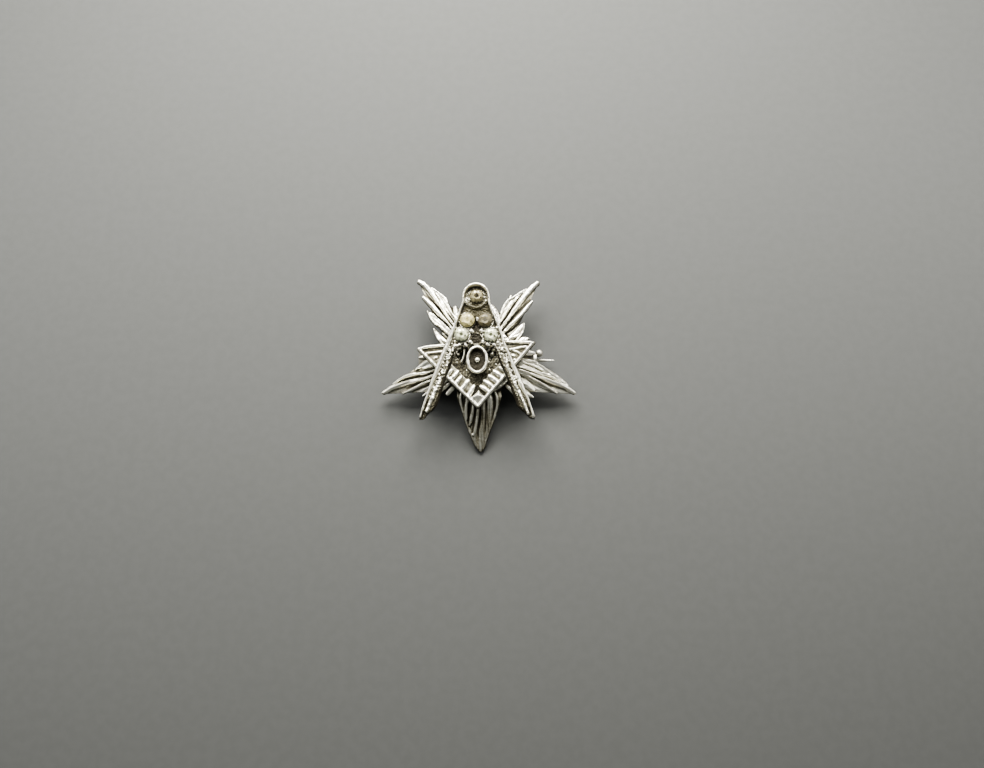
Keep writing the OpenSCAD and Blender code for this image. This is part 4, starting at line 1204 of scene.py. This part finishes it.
def makeStone(name, seed):
    x, y, level = stoneTable[name]
    x, y = x + compasses["centre"][0], y + compasses["centre"][1]
    z = compasses["level"] + level
    draws = np.random.default_rng(seed)
    rings = []
    points = []
    for part, height, corners, step in cut:
        rings.append(list(range(len(points), len(points) + corners)))
        crooked = part < uneven["radiusUnder"] and height > uneven["heightOver"]
        for k in range(corners):
            a = (k + step) * 2 * math.pi / corners
            wobble = float(draws.uniform(-uneven["wobble"], uneven["wobble"])) if crooked else 0.0
            radius = part + wobble
            points.append((radius * math.cos(a), radius * math.sin(a), height + wobble * uneven["rise"]))
    table, crown, girdle, low, back = rings
    faces = []
    shades = []

    # Each facet gets a painted glint by its kind, a little uneven
    def facet(kind, k, corners):
        plain, more = paintedGlint[kind]
        shade = plain + more * (k % 2)
        faces.append(tuple(corners))
        shades.append(min(1.0, max(0.0, shade + float(draws.uniform(-uneven["shade"], uneven["shade"])))))

    sides, around = len(table), len(girdle)
    for k in range(sides):
        after, g, between, beyond = (k + 1) % sides, 2 * k, 2 * k + 1, (2 * k + 2) % around
        facet("star", k, (table[k], crown[k], table[after]))
        facet("main", k, (table[k], crown[k - 1], girdle[g], crown[k]))
        facet("girdleLeft", k, (crown[k], girdle[g], girdle[between]))
        facet("girdleRight", k, (crown[k], girdle[between], girdle[beyond]))
        facet("back", k, (low[g], back[k], low[between]))
        facet("back", k, (low[between], back[k], back[after], low[beyond]))
    for k in range(around):
        facet("girdle", k, (girdle[k], low[k], low[(k + 1) % around], girdle[(k + 1) % around]))
    hub = len(points)
    tableHeight = cut[0][1]
    for k in range(sides):
        a = (k + 0.5) * 2 * math.pi / sides
        points.append((wedges["radius"] * math.cos(a), wedges["radius"] * math.sin(a),
                       tableHeight - wedges["sink"]))
    points.append((0.0, 0.0, tableHeight - wedges["middleSink"]))
    for k in range(sides):
        before = hub + (k - 1) % sides
        facet("wedge", k, (table[k], table[(k + 1) % sides], hub + k))
        facet("inner", k, (table[k], hub + k, before))
        facet("middle", k, (before, hub + k, hub + sides))
    # Flat end of the back, down in the cup
    facet("end", 0, back[::-1])
    points = [(x + px * stoneRadius, y + py * stoneRadius, z + pz) for px, py, pz in points]
    mesh = bpy.data.meshes.new(name + "_glass")
    mesh.from_pydata(points, [], faces)
    radii = [math.hypot(p[0] - x, p[1] - y) / stoneRadius for p in points]
    hearts = [1.0 - min(1.0, r / heartRadius) for r in radii]
    for label, domain, data in (("facet", "FACE", shades), ("heart", "POINT", hearts),
                                ("rim", "POINT", radii)):
        mark = mesh.attributes.new(label, "FLOAT", domain)
        mark.data.foreach_set("value", np.array(data, np.float32))
    mesh.transform(layDown)
    mesh.materials.append(oldGlass(name + "_glass", glass[name]))
    piece = placed(name + "_glass", mesh)
    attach(piece, "front")
    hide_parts(name)
    "stone_yellowed" if name in ("stone_1", "stone_2", "stone_3") else "stone_clear"


for number, name in enumerate(stoneTable):
    makeStone(name, firstSeed + number)
print("stones set")

# The pin, the rivet and the catch keep their shapes
pinMetal = fittingMetal("pinMetal", pinLook)
barMetal = fittingMetal("barMetal", barLook)
for name, metal in (("pin_back", barMetal), ("hinge_rivet", barMetal), ("pin_stem", pinMetal),
                    ("catch_lever", pinMetal)):
    mesh = frame["nodes"][name].data
    mesh.materials.clear()
    mesh.materials.append(metal)
print("fittings finished")


# The floor is painted paler far out, from one distance in metres to another: painted light where the lamps
# light it less
studio = {
    "look": "AgX - Medium High Contrast", "floorSize": 3.0, "floor": rgb(0.073, 0.075, 0.073),
    "floorDark": rgb(0.058, 0.06, 0.058), "farPaintedLight": rgb(0.6, 0.61, 0.59), "farFrom": (0.09, 0.36),
    "tooth": (1.2, 3.0, 0.5), "toothFrom": (0.3, 0.7), "toothDark": 0.3, "rough": 0.9,
    "air": rgb(0.53, 0.54, 0.52), "airStrength": 0.36,
}
# Panels: place in millimetres, width, height, strength in watts, colour
panels = [
    ((-6.0, 112.0, 98.0), 130.0, 90.0, 1.15, (1.0, 0.98, 0.92)),
    ((-130.0, 30.0, 90.0), 60.0, 60.0, 0.12, (0.98, 0.98, 0.97)),
    ((120.0, 40.0, 70.0), 45.0, 45.0, 0.1, (1.0, 0.98, 0.95)),
]


def makeStudio():
    q = studio
    scene = bpy.context.scene
    scene.view_settings.look = q["look"]
    half = q["floorSize"] / 2
    mesh = bpy.data.meshes.new("floor")
    mesh.from_pydata([(-half, -half, 0), (half, -half, 0), (half, half, 0), (-half, half, 0)], [],
                     [(0, 1, 2, 3)])
    floor = placed("floor", mesh)
    s = Shader("floorPaper")
    tooth = s.speckle(*q["tooth"])
    paper = s.mix(tooth.between(*q["toothFrom"]) * q["toothDark"], q["floor"], q["floorDark"])
    away = s.node("ShaderNodeVectorMath", {"operation": "LENGTH"}, {0: s.place()}, "Value")
    # Painted light: paler far out, where the lamps light the floor less
    paper = s.mix(away.between(*q["farFrom"]), paper, q["farPaintedLight"])
    mesh.materials.append(s.finish({"Base Color": paper, "Roughness": q["rough"]}))
    for i, (place, width, height, strength, colour) in enumerate(panels):
        light = bpy.data.lights.new(f"panel{i}", "AREA")
        light.shape = "RECTANGLE"
        light.size = width * mm
        light.size_y = height * mm
        light.energy = strength
        light.color = colour
        made = placed(f"panel{i}", light)
        made.location = Vector(place) * mm
        made.rotation_euler = (-Vector(place)).to_track_quat("-Z", "Y").to_euler()
    world = bpy.data.worlds.new("air")
    world.use_nodes = True
    background = world.node_tree.nodes["Background"]
    background.inputs["Color"].default_value = q["air"]
    background.inputs["Strength"].default_value = q["airStrength"]
    scene.world = world


makeStudio()
print("studio lit")
